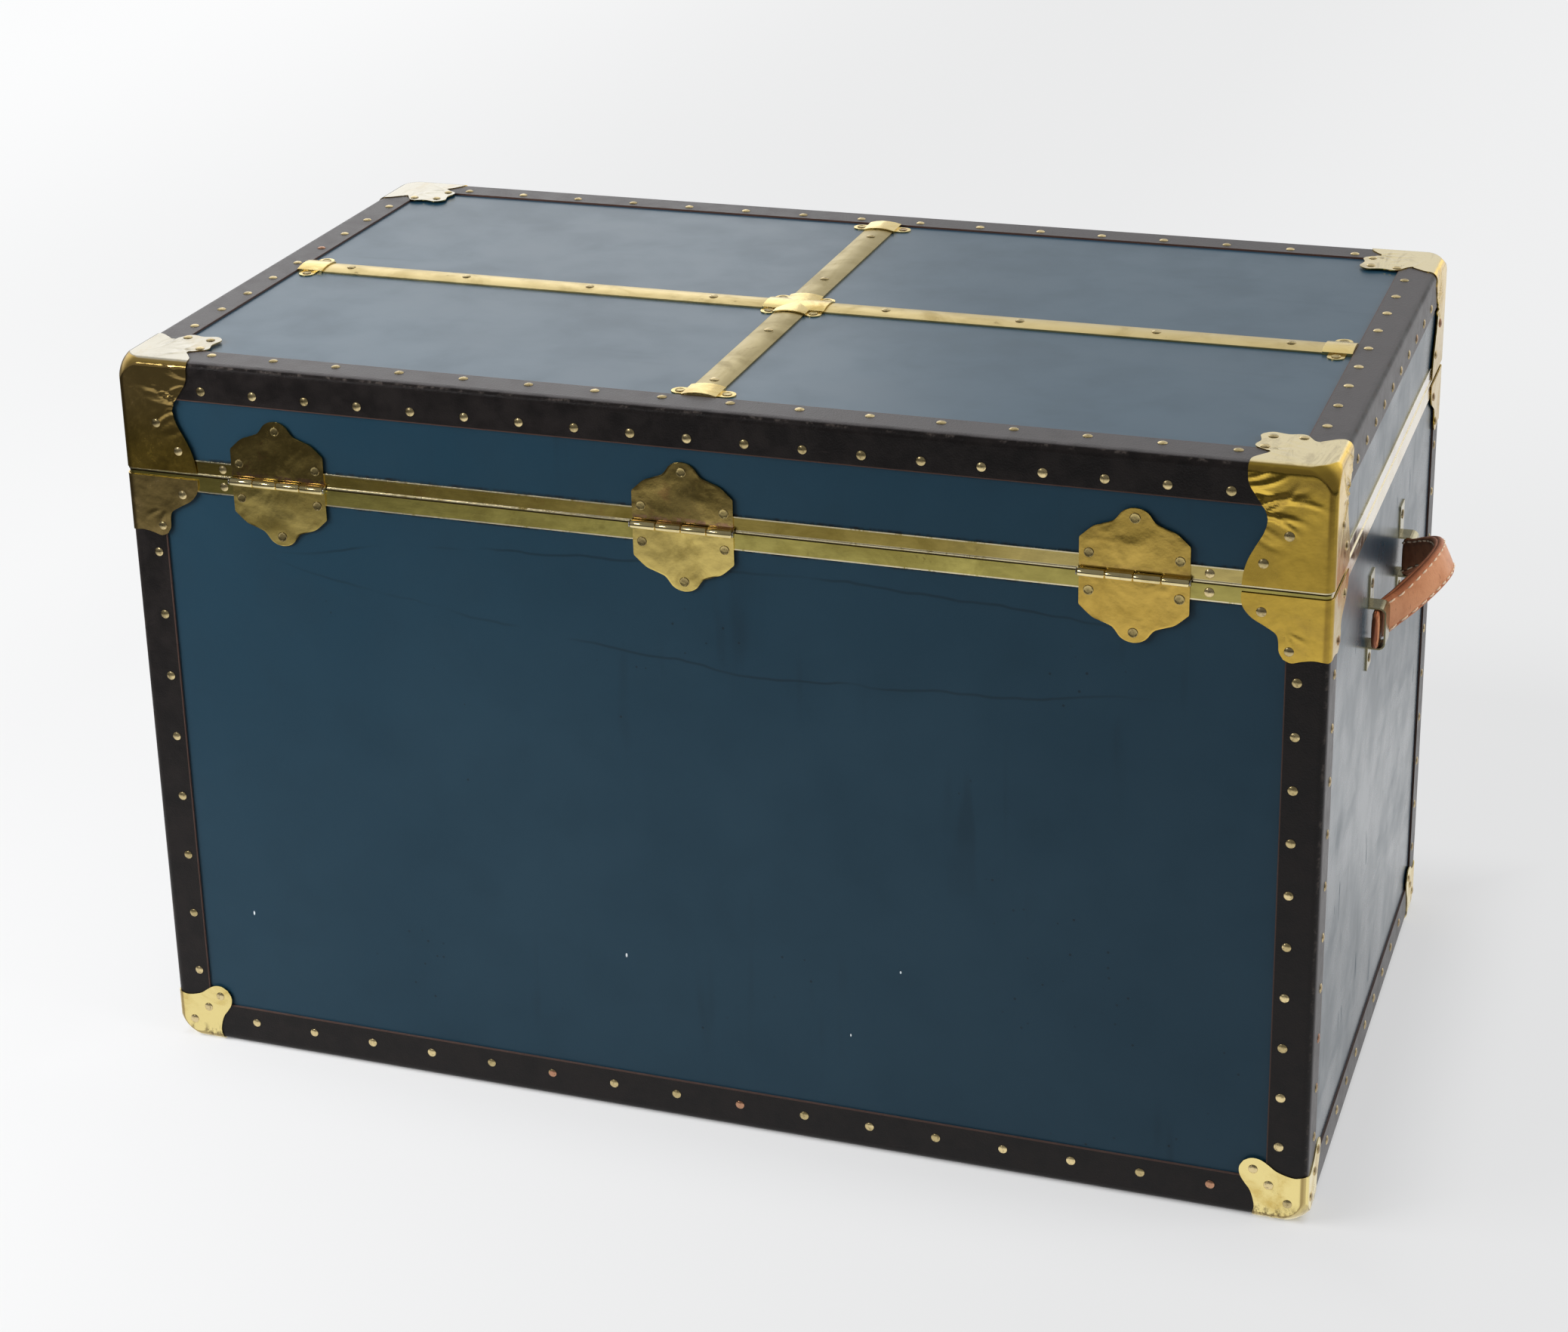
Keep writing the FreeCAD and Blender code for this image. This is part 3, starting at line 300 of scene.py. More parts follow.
def brass(name, bright=(0.82, 0.59, 0.16), dull=(0.56, 0.375, 0.075), *, tarnish, seed, rough=(0.10, 0.26),
          dents=1.0, brushed=(1, 1, 1), reds=0.0, red_level=None, worn_and_highlight_levels=(), dark_levels=(),
          rounding=0.0, fold_shade_and_patina=0.0, top=None, ends=None, gold=None, pale=None, low_shade=None, soil=None):
    """Pressed sheet brass: polished in places, browned in others, with scratches, dents, and dark folds,
    which are painted shade and dark reflection, and on the foot patina too. The levels are those of a
    reddened edge, a rubbed edge with a painted highlight, or a dark edge. The last colours are a painted
    highlight on faces that look up, a painted reflection on faces that look along X, the tones of the trunk's
    right and left side, painted shade low on the lid, and dirt near the floor."""
    stained, rusted, crusted = (0.15, 0.095, 0.03), (0.36, 0.10, 0.065), (0.48, 0.26, 0.18)
    fold_shade_colour, polished_and_highlight, shaded = (0.15, 0.075, 0.022), (0.93, 0.83, 0.56), (0.045, 0.032, 0.013)
    top_left_highlight, top_rubbed = (0.47, 0.44, 0.355), (0.42, 0.34, 0.20)
    p = Paint(name, Metallic=1.0)
    x, _, z = p.axes()
    facing = p.axes("Normal")
    turn_x, turn_y, turn_z = (p.unsigned(n) for n in facing)
    shift = (seed, seed * 1.3, seed * 0.7)
    patch = p.noise(24.0, 5.0, shift=shift, rough=0.6, warp=0.8)
    spots = p.noise(110.0, 5.0, shift=shift, rough=0.7)
    film = p.noise(9.0, 2.0, shift=shift)
    hair = p.noise(260.0, 4.0, stretch=brushed, shift=shift, rough=0.75)
    p.base = p.mix(p.step(patch, 0.5 - tarnish * 0.22, 0.86 - tarnish * 0.3), bright, dull)
    p.tint(p.step(film, 0.35, 0.7), dull, 0.35 * tarnish)
    dirt = p.times(p.step(spots, 0.60, 0.74), p.step(patch, 0.42, 0.66))
    p.tint(dirt, stained, 0.35 + 0.5 * tarnish)
    if reds:
        rust = p.patches(0.56, 0.70, 48.0, 4.0, shift=(seed + 3, 0, 0), rough=0.7)
        p.tint(rust, rusted, reds)
    if red_level:
        crust = p.times(p.stripes(z, [red_level], 1.2, 3.6), p.patches(0.44, 0.56, 170.0, 4.0, rough=0.8))
        p.tint(crust, crusted, 0.8)
    if gold:
        p.tint(p.step(x, -0.28, -0.16, 0.85, 0.0), gold)
    if pale:
        p.tint(p.step(x, 0.16, 0.28, 0.0, 0.6), pale)
    # Painted shade and dark reflection along the folds, across the top fold and down the upright folds; on
    # the foot it also stands for patina
    if fold_shade_and_patina:
        rolled = p.times(p.near(p.minus(turn_y, turn_x), 0.36, 0.26, 0.58),
                         p.step(turn_z, 0.2, 0.5, 1.0, 0.0))
        shade = p.most(p.times(p.near(turn_z, 0.40, 0.16, 0.32), 0.8), rolled)
        p.tint(shade, fold_shade_colour, fold_shade_and_patina)
    # Thin pale broken lines at the given levels: rubbed edges, and a painted highlight along the rims' edges
    # and lip
    if worn_and_highlight_levels:
        edge = p.stripes(z, worn_and_highlight_levels, 0.4, 1.1)
        breaks = p.patches(0.28, 0.46, 90.0, 4.0, stretch=(1, 1, 0.1), rough=0.8)
        p.tint(p.times(edge, breaks), polished_and_highlight)
    if dark_levels:
        p.tint(p.times(p.stripes(z, dark_levels, 0.45, 1.0), p.step(turn_z, 0.5, 0.8, 1.0, 0.6)), shaded)
    if soil:
        crust = p.times(p.step(z, 0.004, 0.018, 0.9, 0.0),
                        p.patches(0.47, 0.60, 140.0, 5.0, stretch=(1, 1, 0.6), rough=0.8))
        p.tint(crust, soil)
    # Painted shade: the lid corners darker low down, fading out by 560 mm
    if low_shade:
        p.tint(p.step(z, 0.505, 0.560, 0.90, 0.0), low_shade)
    # Faces that look up get paler, greyer brass, a painted highlight, with darker rubbed patches
    if top:
        top_highlight_and_wear = p.mix(p.step(x, -0.1, 0.3), top, top_left_highlight)
        rubbing = p.patches(0.50, 0.66, 55.0, 5.0, stretch=(1, 0.3, 1), shift=shift, rough=0.7, warp=1.0)
        top_highlight_and_wear = p.mix(p.times(rubbing, 0.5), top_highlight_and_wear, top_rubbed)
        p.tint(p.step(facing[2], 0.75, 0.95), top_highlight_and_wear)
    # Faces that look along X get the given colour, a painted reflection, pale on the rims' ends
    if ends:
        p.tint(p.step(turn_x, 0.75, 0.95), ends)
    p.tint(p.fold(0.04, 0.25), tuple(min(1.0, 1.08 * c) for c in bright), 0.3)
    gloss = p.plus(p.step(patch, 0.3, 0.75, *rough), p.times(dirt, 0.22))
    gloss = p.plus(gloss, p.times(p.step(hair, 0.45, 0.75), 0.08))
    under = {}
    if rounding:
        soft = p.node("Bevel", Radius=rounding * MM)
        soft.samples = 4
        under["Normal"] = soft.outputs[0]
    normal = p.bump(p.noise(34.0, 2.0, shift=shift, warp=0.4), 0.0011 * dents, 0.55, **under)
    normal = p.bump(p.noise(95.0, 3.0, shift=shift), 0.00022 * dents, 0.6, Normal=normal)
    return p.done(gloss, p.bump(hair, 0.00003, 0.5, Normal=normal))


def rivet_brass(name, bright, dull, seed=0.0):
    """Small heads that differ from each other: gold, olive or coppery, each darker with painted shade on its
    sides along X.
    """
    coppery, stained, side_shade = (0.46, 0.24, 0.15), (0.15, 0.105, 0.045), (0.20, 0.125, 0.075)
    p = Paint(name, Metallic=1.0)
    olive, copper, _ = p.node("SeparateColor",
                              Color=p.cells(28.0, shift=(seed, 0, 0), output="Color")).outputs
    spots = p.noise(420.0, 4.0, rough=0.7)
    p.base = p.mix(p.step(olive, 0.35, 0.75), bright, dull)
    p.tint(p.step(copper, 0.92, 0.96), coppery)
    p.tint(p.step(spots, 0.52, 0.68), stained, 0.6)
    # Painted shade on the heads' sides that look along X
    p.tint(p.step(p.unsigned(p.axes("Normal")[0]), 0.6, 0.95, 0.0, 0.6), side_shade)
    return p.done(p.step(spots, 0.3, 0.75, 0.20, 0.40), p.bump(spots, 0.00012, 0.7))


def steel(name):
    """Drawn steel with fine lines, dull patches and a little rust."""
    light, dark, rusted = (0.50, 0.49, 0.47), (0.33, 0.31, 0.28), (0.16, 0.09, 0.05)
    p = Paint(name, Metallic=1.0)
    patch = p.noise(70.0, 4.0, rough=0.6)
    hair = p.noise(600.0, 3.0, stretch=(1, 1, 8))
    p.base = p.mix(p.step(patch, 0.4, 0.7), light, dark)
    p.tint(p.step(patch, 0.66, 0.78), rusted, 0.6)
    return p.done(p.step(hair, 0.3, 0.75, 0.28, 0.46), p.bump(hair, 0.00003, 0.5))


def lining_paper(name):
    """Aged buff paper with fibres and a little foxing."""
    fresh, aged = (0.60, 0.52, 0.39), (0.47, 0.38, 0.26)
    fibrous, foxed = (0.34, 0.27, 0.18), (0.27, 0.15, 0.07)
    p = Paint(name, IOR=1.45, Metallic=0.0)
    fibre = p.noise(700.0, 4.0, stretch=(1, 1, 0.4), rough=0.7)
    age = p.noise(8.0, 4.0, warp=0.2)
    fox = p.times(p.patches(0.66, 0.74, 75.0, 3.0), p.step(age, 0.5, 0.65))
    p.base = p.mix(p.step(age, 0.3, 0.75), fresh, aged)
    p.tint(p.step(fibre, 0.4, 0.8), fibrous, 0.2)
    p.tint(fox, foxed, 0.5)
    return p.done(p.step(fibre, 0.3, 0.8, 0.72, 0.9), p.bump(fibre, 0.00008, 0.6))


def leather(name, light, dark, crease, rough=(0.38, 0.56)):
    """Bridle leather: pores, creases across the bend, and darker handled patches."""
    p = Paint(name, IOR=1.48, Metallic=0.0)
    pores = p.cells(1100.0, feature="SMOOTH_F1")
    patch = p.noise(55.0, 5.0, rough=0.6, warp=0.5)
    lines = p.noise(150.0, 4.0, stretch=(1, 3.2, 1), rough=0.7, warp=0.3)
    p.base = p.mix(p.step(patch, 0.32, 0.7), light, dark)
    p.tint(p.step(lines, 0.55, 0.72), crease, 0.55)
    p.tint(p.step(pores, 0.25, 0.05), crease, 0.3)
    height = p.plus(p.times(pores, 0.6), p.times(lines, 0.9))
    return p.done(p.step(patch, 0.3, 0.75, *rough), p.bump(height, 0.00016, 0.8))


def waxed_thread(name):
    """Twisted linen thread."""
    light, dark = (0.90, 0.70, 0.50), (0.72, 0.50, 0.33)
    p = Paint(name, IOR=1.45, Metallic=0.0)
    twist = p.noise(1900.0, 2.0, stretch=(1, 0.35, 1))
    p.base = p.mix(p.step(twist, 0.35, 0.7), light, dark)
    return p.done(p.step(twist, 0.3, 0.7, 0.55, 0.75), p.bump(twist, 0.0001, 0.8))


ALONG_X, ALONG_Y = (0.1, 1, 1), (1, 0.1, 1)
AROUND = (0.1, 0.1, 1)
SEAMS = (504.0, 477.8)
TIDES = ((0.383, -0.08, 0.277), (0.464, -0.04, -0.19))
NICKS = ((381.9, 121.3, 0.7, 2.0), (63.2, 135.3, 0.8, 1.8), (-154.2, 156.3, 0.7, 1.2),
         (-115.0, 96.8, 0.5, 1.3))
looks = {
    "blue_side": blue_fibre("blue_fibre_side", (1, 1, 0.12), 0.25, index=1.28, rough=(0.31, 0.41), waves=0.25,
                            nicks=NICKS, dark_lines=SEAMS, tides=TIDES),
    # The lid's top and the bottom: the same fibre painted lighter all over, a painted light.
    "blue_top": blue_fibre("blue_fibre_top", (0.15, 1, 1), 0.08, seed=4.0, index=1.48, rough=(0.29, 0.345),
                           waves=0.06, dots_from=0.85, painted_brightness=1.8, grit=0.06),
    "blue_end": blue_fibre("blue_fibre_end", (1, 1, 0.25), 0.35, seed=9.0, index=1.41, coat=0.32,
                           rough=(0.24, 0.36), waves=0.05, dots_from=0.55, grit=0.06, dark_lines=SEAMS),
    "binding": binding_fibre("binding_fibre"),
    "cap": brass("brass_cap", (0.86, 0.58, 0.095), tarnish=0.35, seed=1.0, dents=0.45, fold_shade_and_patina=0.6,
                 top=(0.86, 0.74, 0.44), pale=(0.98, 0.70, 0.32), low_shade=(0.50, 0.335, 0.056)),
    "clamp": brass("brass_clamp", (0.60, 0.405, 0.067), tarnish=0.44, seed=6.0, reds=0.1, dents=0.6,
                   fold_shade_and_patina=0.4, pale=(0.76, 0.57, 0.27)),
    "barrel": brass("brass_barrel", (0.84, 0.71, 0.38), (0.56, 0.45, 0.20), tarnish=0.4, seed=14.0,
                    rough=(0.10, 0.20), dents=0.3),
    "foot": brass("brass_foot", (0.84, 0.70, 0.30), tarnish=0.25, seed=8.0, rough=(0.16, 0.3), fold_shade_and_patina=0.7,
                  soil=(0.15, 0.105, 0.045)),
    "leaf_up": brass("brass_leaf_upper", (0.74, 0.54, 0.17), (0.38, 0.28, 0.09), tarnish=0.8,
                     seed=2.0, reds=0.3, red_level=SPLIT + 4.6, gold=(0.62, 0.42, 0.09)),
    "leaf_low": brass("brass_leaf_lower", (0.74, 0.575, 0.18), (0.48, 0.36, 0.10), tarnish=0.5,
                      seed=5.0, gold=(0.60, 0.39, 0.075)),
    "rim_lid": brass("brass_rim_lid", (0.46, 0.355, 0.095), (0.31, 0.23, 0.05), tarnish=0.45,
                     seed=3.0, reds=0.1, brushed=AROUND, dents=0.35, worn_and_highlight_levels=(503.6, 492.9),
                     dark_levels=(491.3,), rounding=0.5, ends=(0.82, 0.77, 0.71), gold=(0.68, 0.545, 0.20)),
    "rim_base": brass("brass_rim_base", (0.60, 0.52, 0.15), (0.42, 0.35, 0.09), tarnish=0.5,
                      seed=3.7, brushed=AROUND, dents=0.35, worn_and_highlight_levels=(478.4,), dark_levels=(491.3,),
                      rounding=0.5, ends=(0.88, 0.79, 0.63), gold=(0.47, 0.405, 0.115)),
    "slat_short": brass("brass_slat_short", (0.44, 0.355, 0.155), (0.33, 0.26, 0.10), tarnish=0.4,
                        seed=7.5, rough=(0.30, 0.42), dents=0.3, brushed=ALONG_Y, rounding=0.5),
    "slat": brass("brass_slat", (0.72, 0.58, 0.27), (0.55, 0.42, 0.16), tarnish=0.35, seed=7.0,
                  rough=(0.30, 0.42), dents=0.3, brushed=ALONG_X, rounding=0.5),
    "clip": brass("brass_clip", (0.86, 0.68, 0.28), tarnish=0.25, seed=11.0, rough=(0.16, 0.3),
                  rounding=0.4),
    "loop": brass("brass_loop", (0.42, 0.37, 0.22), (0.25, 0.22, 0.12), tarnish=0.8, seed=12.0,
                  rounding=0.4),
    "front": brass("brass_front", tarnish=0.4, seed=13.0, rounding=0.4),
    "rivet": rivet_brass("rivet_brass", (0.74, 0.60, 0.32), (0.50, 0.40, 0.20)),
    "rivet_flat": rivet_brass("rivet_brass_flat", (0.52, 0.41, 0.17), (0.37, 0.29, 0.125), 2.0),
    "steel": steel("steel"),
    "lining": lining_paper("lining_paper"),
    "leather": leather("tan_leather", (0.61, 0.280, 0.140), (0.50, 0.205, 0.092), (0.27, 0.09, 0.040)),
    "leather_border": leather("tan_leather_border", (0.46, 0.165, 0.070), (0.34, 0.110, 0.045),
                              (0.20, 0.060, 0.026)),
    "leather_edge": leather("leather_edge", (0.44, 0.14, 0.050), (0.28, 0.08, 0.030), (0.12, 0.035, 0.016)),
    "leather_back": leather("leather_flesh", (0.50, 0.190, 0.085), (0.32, 0.110, 0.050), (0.14, 0.045, 0.022),
                            (0.6, 0.8)),
    "thread": waxed_thread("thread"),
}

# The CAD nodes that stay, by their look
LOOK_NODES = {
    "blue_side": ("base_back", "base_front", "lid_back", "lid_front"),
    "blue_end": ("base_left", "base_right", "lid_left", "lid_right"),
    "blue_top": ("lid_top", "base_bottom"),
    "lining": ("base_lining", "lid_lining"),
    "rim_base": ("base_rim",),
    "rim_lid": ("lid_rim",),
    "slat": ("slat_long",),
    "slat_short": ("slat_short",),
    "clip": ("slat_clips", "slat_saddle"),
    "loop": ("handle_loops",),
    "front": ("lock_plate", "lock_plug", "clasp_plates", "clasp_flap_left", "clasp_flap_right", "clasp_lugs"),
    "steel": ("hinge_pins", "lock_case", "lock_bolt", "lock_strike", "clasp_pins", "stay_stud", "stay_bar",
              "stay_bracket"),
    "binding": tuple(node_name for node_name in nodes if "binding" in node_name),
}


def wear_material(obj, material):
    if not obj.material_slots:
        obj.data.materials.append(material)
    for slot in obj.material_slots:
        slot.material = material


for look_name, node_names in LOOK_NODES.items():
    for node_name in node_names:
        wear_material(nodes[node_name], looks[look_name])


# Making meshes

def add_object(name, data):
    made = bpy.data.objects.new(name, data)
    bpy.context.scene.collection.objects.link(made)
    return made


def place_piece(name, mesh, body):
    mesh.shade_smooth()
    piece = add_object(name, mesh)
    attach(piece, body)
    return piece


def new_piece(name, points, faces, materials, body, face_slots=None):
    mesh = bpy.data.meshes.new(name)
    mesh.from_pydata([tuple(p) for p in points], [], faces)
    for material in materials:
        mesh.materials.append(material)
    if face_slots:
        mesh.polygons.foreach_set("material_index", face_slots)
    mesh.update()
    return place_piece(name, mesh, body)


def split_edges(piece, degrees):
    """Keeps the edges crisp that turn by more than an angle."""
    piece.modifiers.new("crisp", "EDGE_SPLIT").split_angle = math.radians(degrees)


def wrap(faces, first, rings, sides):
    """Adds the quads between rings of points that follow each other."""
    for ring in range(rings - 1):
        for i in range(sides):
            j = (i + 1) % sides
            start = first + ring * sides
            faces.append((start + i, start + j, start + sides + j, start + sides + i))


def close_ends(faces, first, rings, sides):
    """Adds a face over the first ring of points and one over the last."""
    faces.append(tuple(first + i for i in reversed(range(sides))))
    faces.append(tuple(first + (rings - 1) * sides + i for i in range(sides)))


def curve_through(points, count):
    """Evenly spread points on a smooth curve through the given ones."""
    ends = [Vector(points[0]) * 2 - Vector(points[1])] + [Vector(p) for p in points]
    ends.append(ends[-1] * 2 - ends[-2])
    dense, steps = [], 16
    for a, b, c, d in zip(ends, ends[1:], ends[2:], ends[3:]):
        for i in range(steps):
            t = i / steps
            dense.append(0.5 * ((2 * b) + (c - a) * t + (2 * a - 5 * b + 4 * c - d) * t * t
                                + (3 * b - a - 3 * c + d) * t ** 3))
    dense.append(ends[-2])
    reach = [0.0]
    for a, b in zip(dense, dense[1:]):
        reach.append(reach[-1] + (b - a).length)
    made, i = [], 0
    for k in range(count + 1):
        want = reach[-1] * k / count
        while i < len(reach) - 2 and reach[i + 1] < want:
            i += 1
        share = clamp((want - reach[i]) / max(1e-9, reach[i + 1] - reach[i]))
        made.append(dense[i].lerp(dense[i + 1], share))
    return made


def along(path, share):
    """The point at a share of a line of evenly spread points."""
    where = clamp(share) * (len(path) - 1)
    i = min(int(where), len(path) - 2)
    return path[i].lerp(path[i + 1], where - i)


def coons(near_u, near_v, far_u, far_v, shares_u, shares_v):
    """Points of a patch between four lines: near_u runs from the origin along u, near_v from it along v,
    far_u along u at the far end of v, and far_v along v at the far end of u."""
    corners = near_u[0], near_u[-1], near_v[-1], far_u[-1]
    rows = []
    for t in shares_v:
        rows.append([])
        for s in shares_u:
            across = along(near_u, s).lerp(along(far_u, s), t)
            up = along(near_v, t).lerp(along(far_v, t), s)
            flat = corners[0].lerp(corners[1], s).lerp(corners[2].lerp(corners[3], s), t)
            rows[-1].append(across + up - flat)
    return rows


def scaled(points, wide, tall):
    return [Vector((u * wide, v * tall)) for u, v in points]


def line(a, b):
    return [Vector(a), Vector(b)]


def swapped(points):
    return [Vector((p.y, p.x)) for p in points]


def shares(count, power, far=False):
    """Shares from 0 to 1, closer together near 0, or near 1 where far is set."""
    made = [(i / count) ** power for i in range(count + 1)]
    return [1 - s for s in reversed(made)] if far else made


# Sizes that the CAD model has: the box, its rounded edges and vertices, and the corners' sheet

HALF_X = 455.9
HALF_Y = 257.4
FLOOR = 2.5
CEILING = 579.4
BOARD_ROUND = 4.4
VERTEX_INSET = 20.0
VERTEX_PLAY = 0.3
BINDING = 1.6
CAP_SHEET = 0.9
CAP_OUT = BINDING + CAP_SHEET
CAP_X = HALF_X + CAP_OUT
CAP_Y = HALF_Y + CAP_OUT
LID_CAP_BOTTOM = 493.4
LID_CAP_TOP = 581.9
LID_CAP_TALL = LID_CAP_TOP - LID_CAP_BOTTOM
BASE_CLAMP_TOP = 488.0

# The corners' sizes and their outlines, in shares of the size along and up from the vertex
LID_CAP = 62.0
CLAMP_WIDE = 62.0
CLAMP_TALL = 48.0
FOOT = 50.0
LID_SIDE = ((1.0, 0.0), (0.985, 0.10), (0.94, 0.21), (0.865, 0.32), (0.775, 0.44), (0.74, 0.55),
            (0.775, 0.63), (0.875, 0.73), (0.955, 0.83), (0.97, 0.93), (0.97, 1.0))
LID_TOP = ((0.0, 0.97), (0.15, 0.95), (0.27, 0.87), (0.37, 0.80), (0.43, 0.87), (0.50, 0.975), (0.58, 1.0),
           (0.69, 0.965), (0.78, 0.978), (0.86, 1.0), (0.915, 0.988), (0.955, 0.955))
CLAMP_SIDE = ((1.0, 0.0), (1.0, 0.12), (0.97, 0.24), (0.88, 0.37), (0.73, 0.48), (0.61, 0.58), (0.58, 0.70),
              (0.57, 0.85), (0.52, 0.96))
CLAMP_LOW = ((0.0, 0.96), (0.17, 0.93), (0.32, 0.96), (0.43, 1.0), (0.52, 0.96))
FOOT_SIDE = ((0.0, 0.80), (0.10, 0.79), (0.20, 0.77), (0.33, 0.79), (0.47, 0.84), (0.58, 0.92), (0.70, 0.99),
             (0.83, 1.0), (0.94, 0.94))
# Creases fade in between these distances from a folded edge, and none is deeper than this
CREASE_FROM = (5.0, 12.0)
CREASE_DEPTH = 0.75
CREASE_BEFORE = -4.0
CREASE_WAVER = 0.02
FAN_WIDTH = 9.0
SHEET_PLAY = 0.05
WELD = 0.02
CORNER_SEED = 40


def skin(x, y, z):
    """A point of the corners' sharp box, brought onto the rounded one, for x and y above 0."""
    inner = Vector((min(x, HALF_X - BOARD_ROUND), min(y, HALF_Y - BOARD_ROUND),
                    clamp(z, FLOOR + BOARD_ROUND, CEILING - BOARD_ROUND)))
    away = Vector((x, y, z)) - inner
    point = inner + away.normalized() * (BOARD_ROUND + CAP_OUT) if away.length > 1e-6 else inner
    ball = math.sqrt(2) * (VERTEX_INSET - BOARD_ROUND) + BOARD_ROUND + VERTEX_PLAY + CAP_OUT
    for level, up in ((FLOOR, 1), (CEILING, -1)):
        centre = Vector((HALF_X - VERTEX_INSET, HALF_Y - VERTEX_INSET, level + up * VERTEX_INSET))
        off = point - centre
        if off.x > 0 and off.y > 0 and off.z * up < 0 and off.length > ball:
            point = centre + off.normalized() * ball
    return point


def ridges(u, v, creases):
    """The height of wavering creases, each (u, v, angle, width, reach, height), which widen as they fade."""
    total = 0.0
    for cu, cv, angle, width, reach, height in creases:
        du, dv = u - cu, v - cv
        far = du * math.cos(angle) + dv * math.sin(angle)
        off = dv * math.cos(angle) - du * math.sin(angle) + CREASE_WAVER * far * far * math.sin(angle * 7)
        if far > CREASE_BEFORE:
            spread = width * (0.6 + 0.8 * clamp(far / reach))
            fading = (1 - ease(far, reach * 0.25, reach)) * ease(far, CREASE_BEFORE, 2)
            total += height * math.exp(-(off / spread) ** 2) * fading
    return total


def fan(rng, place, toward, count, spread, height, reach):
    """Creases from around a place on the outline, fanning out towards a direction in degrees."""
    made = []
    side = math.radians(toward + 90)
    for i in range(count):
        share = i / (count - 1) - 0.5
        angle = math.radians(toward + spread * share + rng.uniform(-5, 5))
        shift = FAN_WIDTH * share + rng.uniform(-1.2, 1.2)
        made.append((place[0] + math.cos(side) * shift, place[1] + math.sin(side) * shift, angle,
                     rng.uniform(0.9, 1.7), reach * rng.uniform(0.7, 1.2),
                     height * rng.uniform(0.5, 1.0) * rng.choice((1, 1, -0.8))))
    return made


def cap_side_creases(rng):
    """Creases from the neck of a lid corner's side, and a few below and above it."""
    return (fan(rng, (0.74 * LID_CAP + 3, 0.62 * LID_CAP_TALL), 162, 6, spread=56, height=1.15, reach=36.0)
            + fan(rng, (0.80 * LID_CAP, 0.42 * LID_CAP_TALL), 205, 2, spread=24, height=0.35, reach=20.0)
            + fan(rng, (0.93 * LID_CAP, 0.82 * LID_CAP_TALL), 174, 3, spread=20, height=0.7, reach=32.0))


def cap_patches(rng):
    side = curve_through(scaled(LID_SIDE, LID_CAP, LID_CAP_TALL), 120)
    top = curve_through(scaled(LID_TOP, LID_CAP, LID_CAP), 90)
    top_reach = 0.97 * LID_CAP
    u_shares = shares(44, 1.35)
    rows = coons(line((0, 0), (LID_CAP, 0)), line((0, 0), (0, LID_CAP_TALL)),
                 line((0, LID_CAP_TALL), side[-1]), side, u_shares, shares(52, 1.35, far=True))
    flat = coons(line((0, 0), (top_reach, 0)), line((0, 0), (0, top_reach)), top, swapped(top),
                 u_shares, u_shares)
    top_creases = (fan(rng, (0.42 * LID_CAP, 0.82 * LID_CAP), 265, 4, spread=46, height=0.6, reach=30.0)
                   + fan(rng, (0.82 * LID_CAP, 0.42 * LID_CAP), 185, 4, spread=46, height=0.6, reach=30.0)
                   + fan(rng, (0.72 * LID_CAP, 0.72 * LID_CAP), 225, 3, spread=60, height=0.45, reach=26.0))
    return [("back", rows, LID_CAP_BOTTOM, 1, cap_side_creases(rng)),
            ("end", rows, LID_CAP_BOTTOM, 1, cap_side_creases(rng)),
            ("flat", flat, LID_CAP_TOP, -1, top_creases)]


def clamp_patches(rng):
    side = curve_through(scaled(CLAMP_SIDE, CLAMP_WIDE, CLAMP_TALL), 90)
    low = curve_through(scaled(CLAMP_LOW, CLAMP_WIDE, CLAMP_TALL), 60)
    rows = coons(line((0, 0), side[0]), line((0, 0), low[0]), low, side, shares(32, 1.3), shares(30, 1.0))
    creases = fan(rng, (30, 30), 120, 3, spread=80, height=0.25, reach=18.0)
    return [(face, rows, BASE_CLAMP_TOP, -1, creases) for face in ("back", "end")]


def foot_patches(rng):
    half = curve_through(scaled(FOOT_SIDE, FOOT, FOOT), 90)
    side_reach = 0.8 * FOOT
    rows = coons(line((0, 0), (side_reach, 0)), line((0, 0), (0, side_reach)), half, swapped(half),
                 shares(34, 1.35), shares(34, 1.35))
    creases = fan(rng, (0.6 * FOOT, 0.25 * FOOT), 200, 3, spread=50, height=0.4, reach=18.0)
    return [("back", rows, 0.0, 1, creases), ("end", rows, 0.0, 1, creases), ("flat", rows, 0.0, 1, [])]


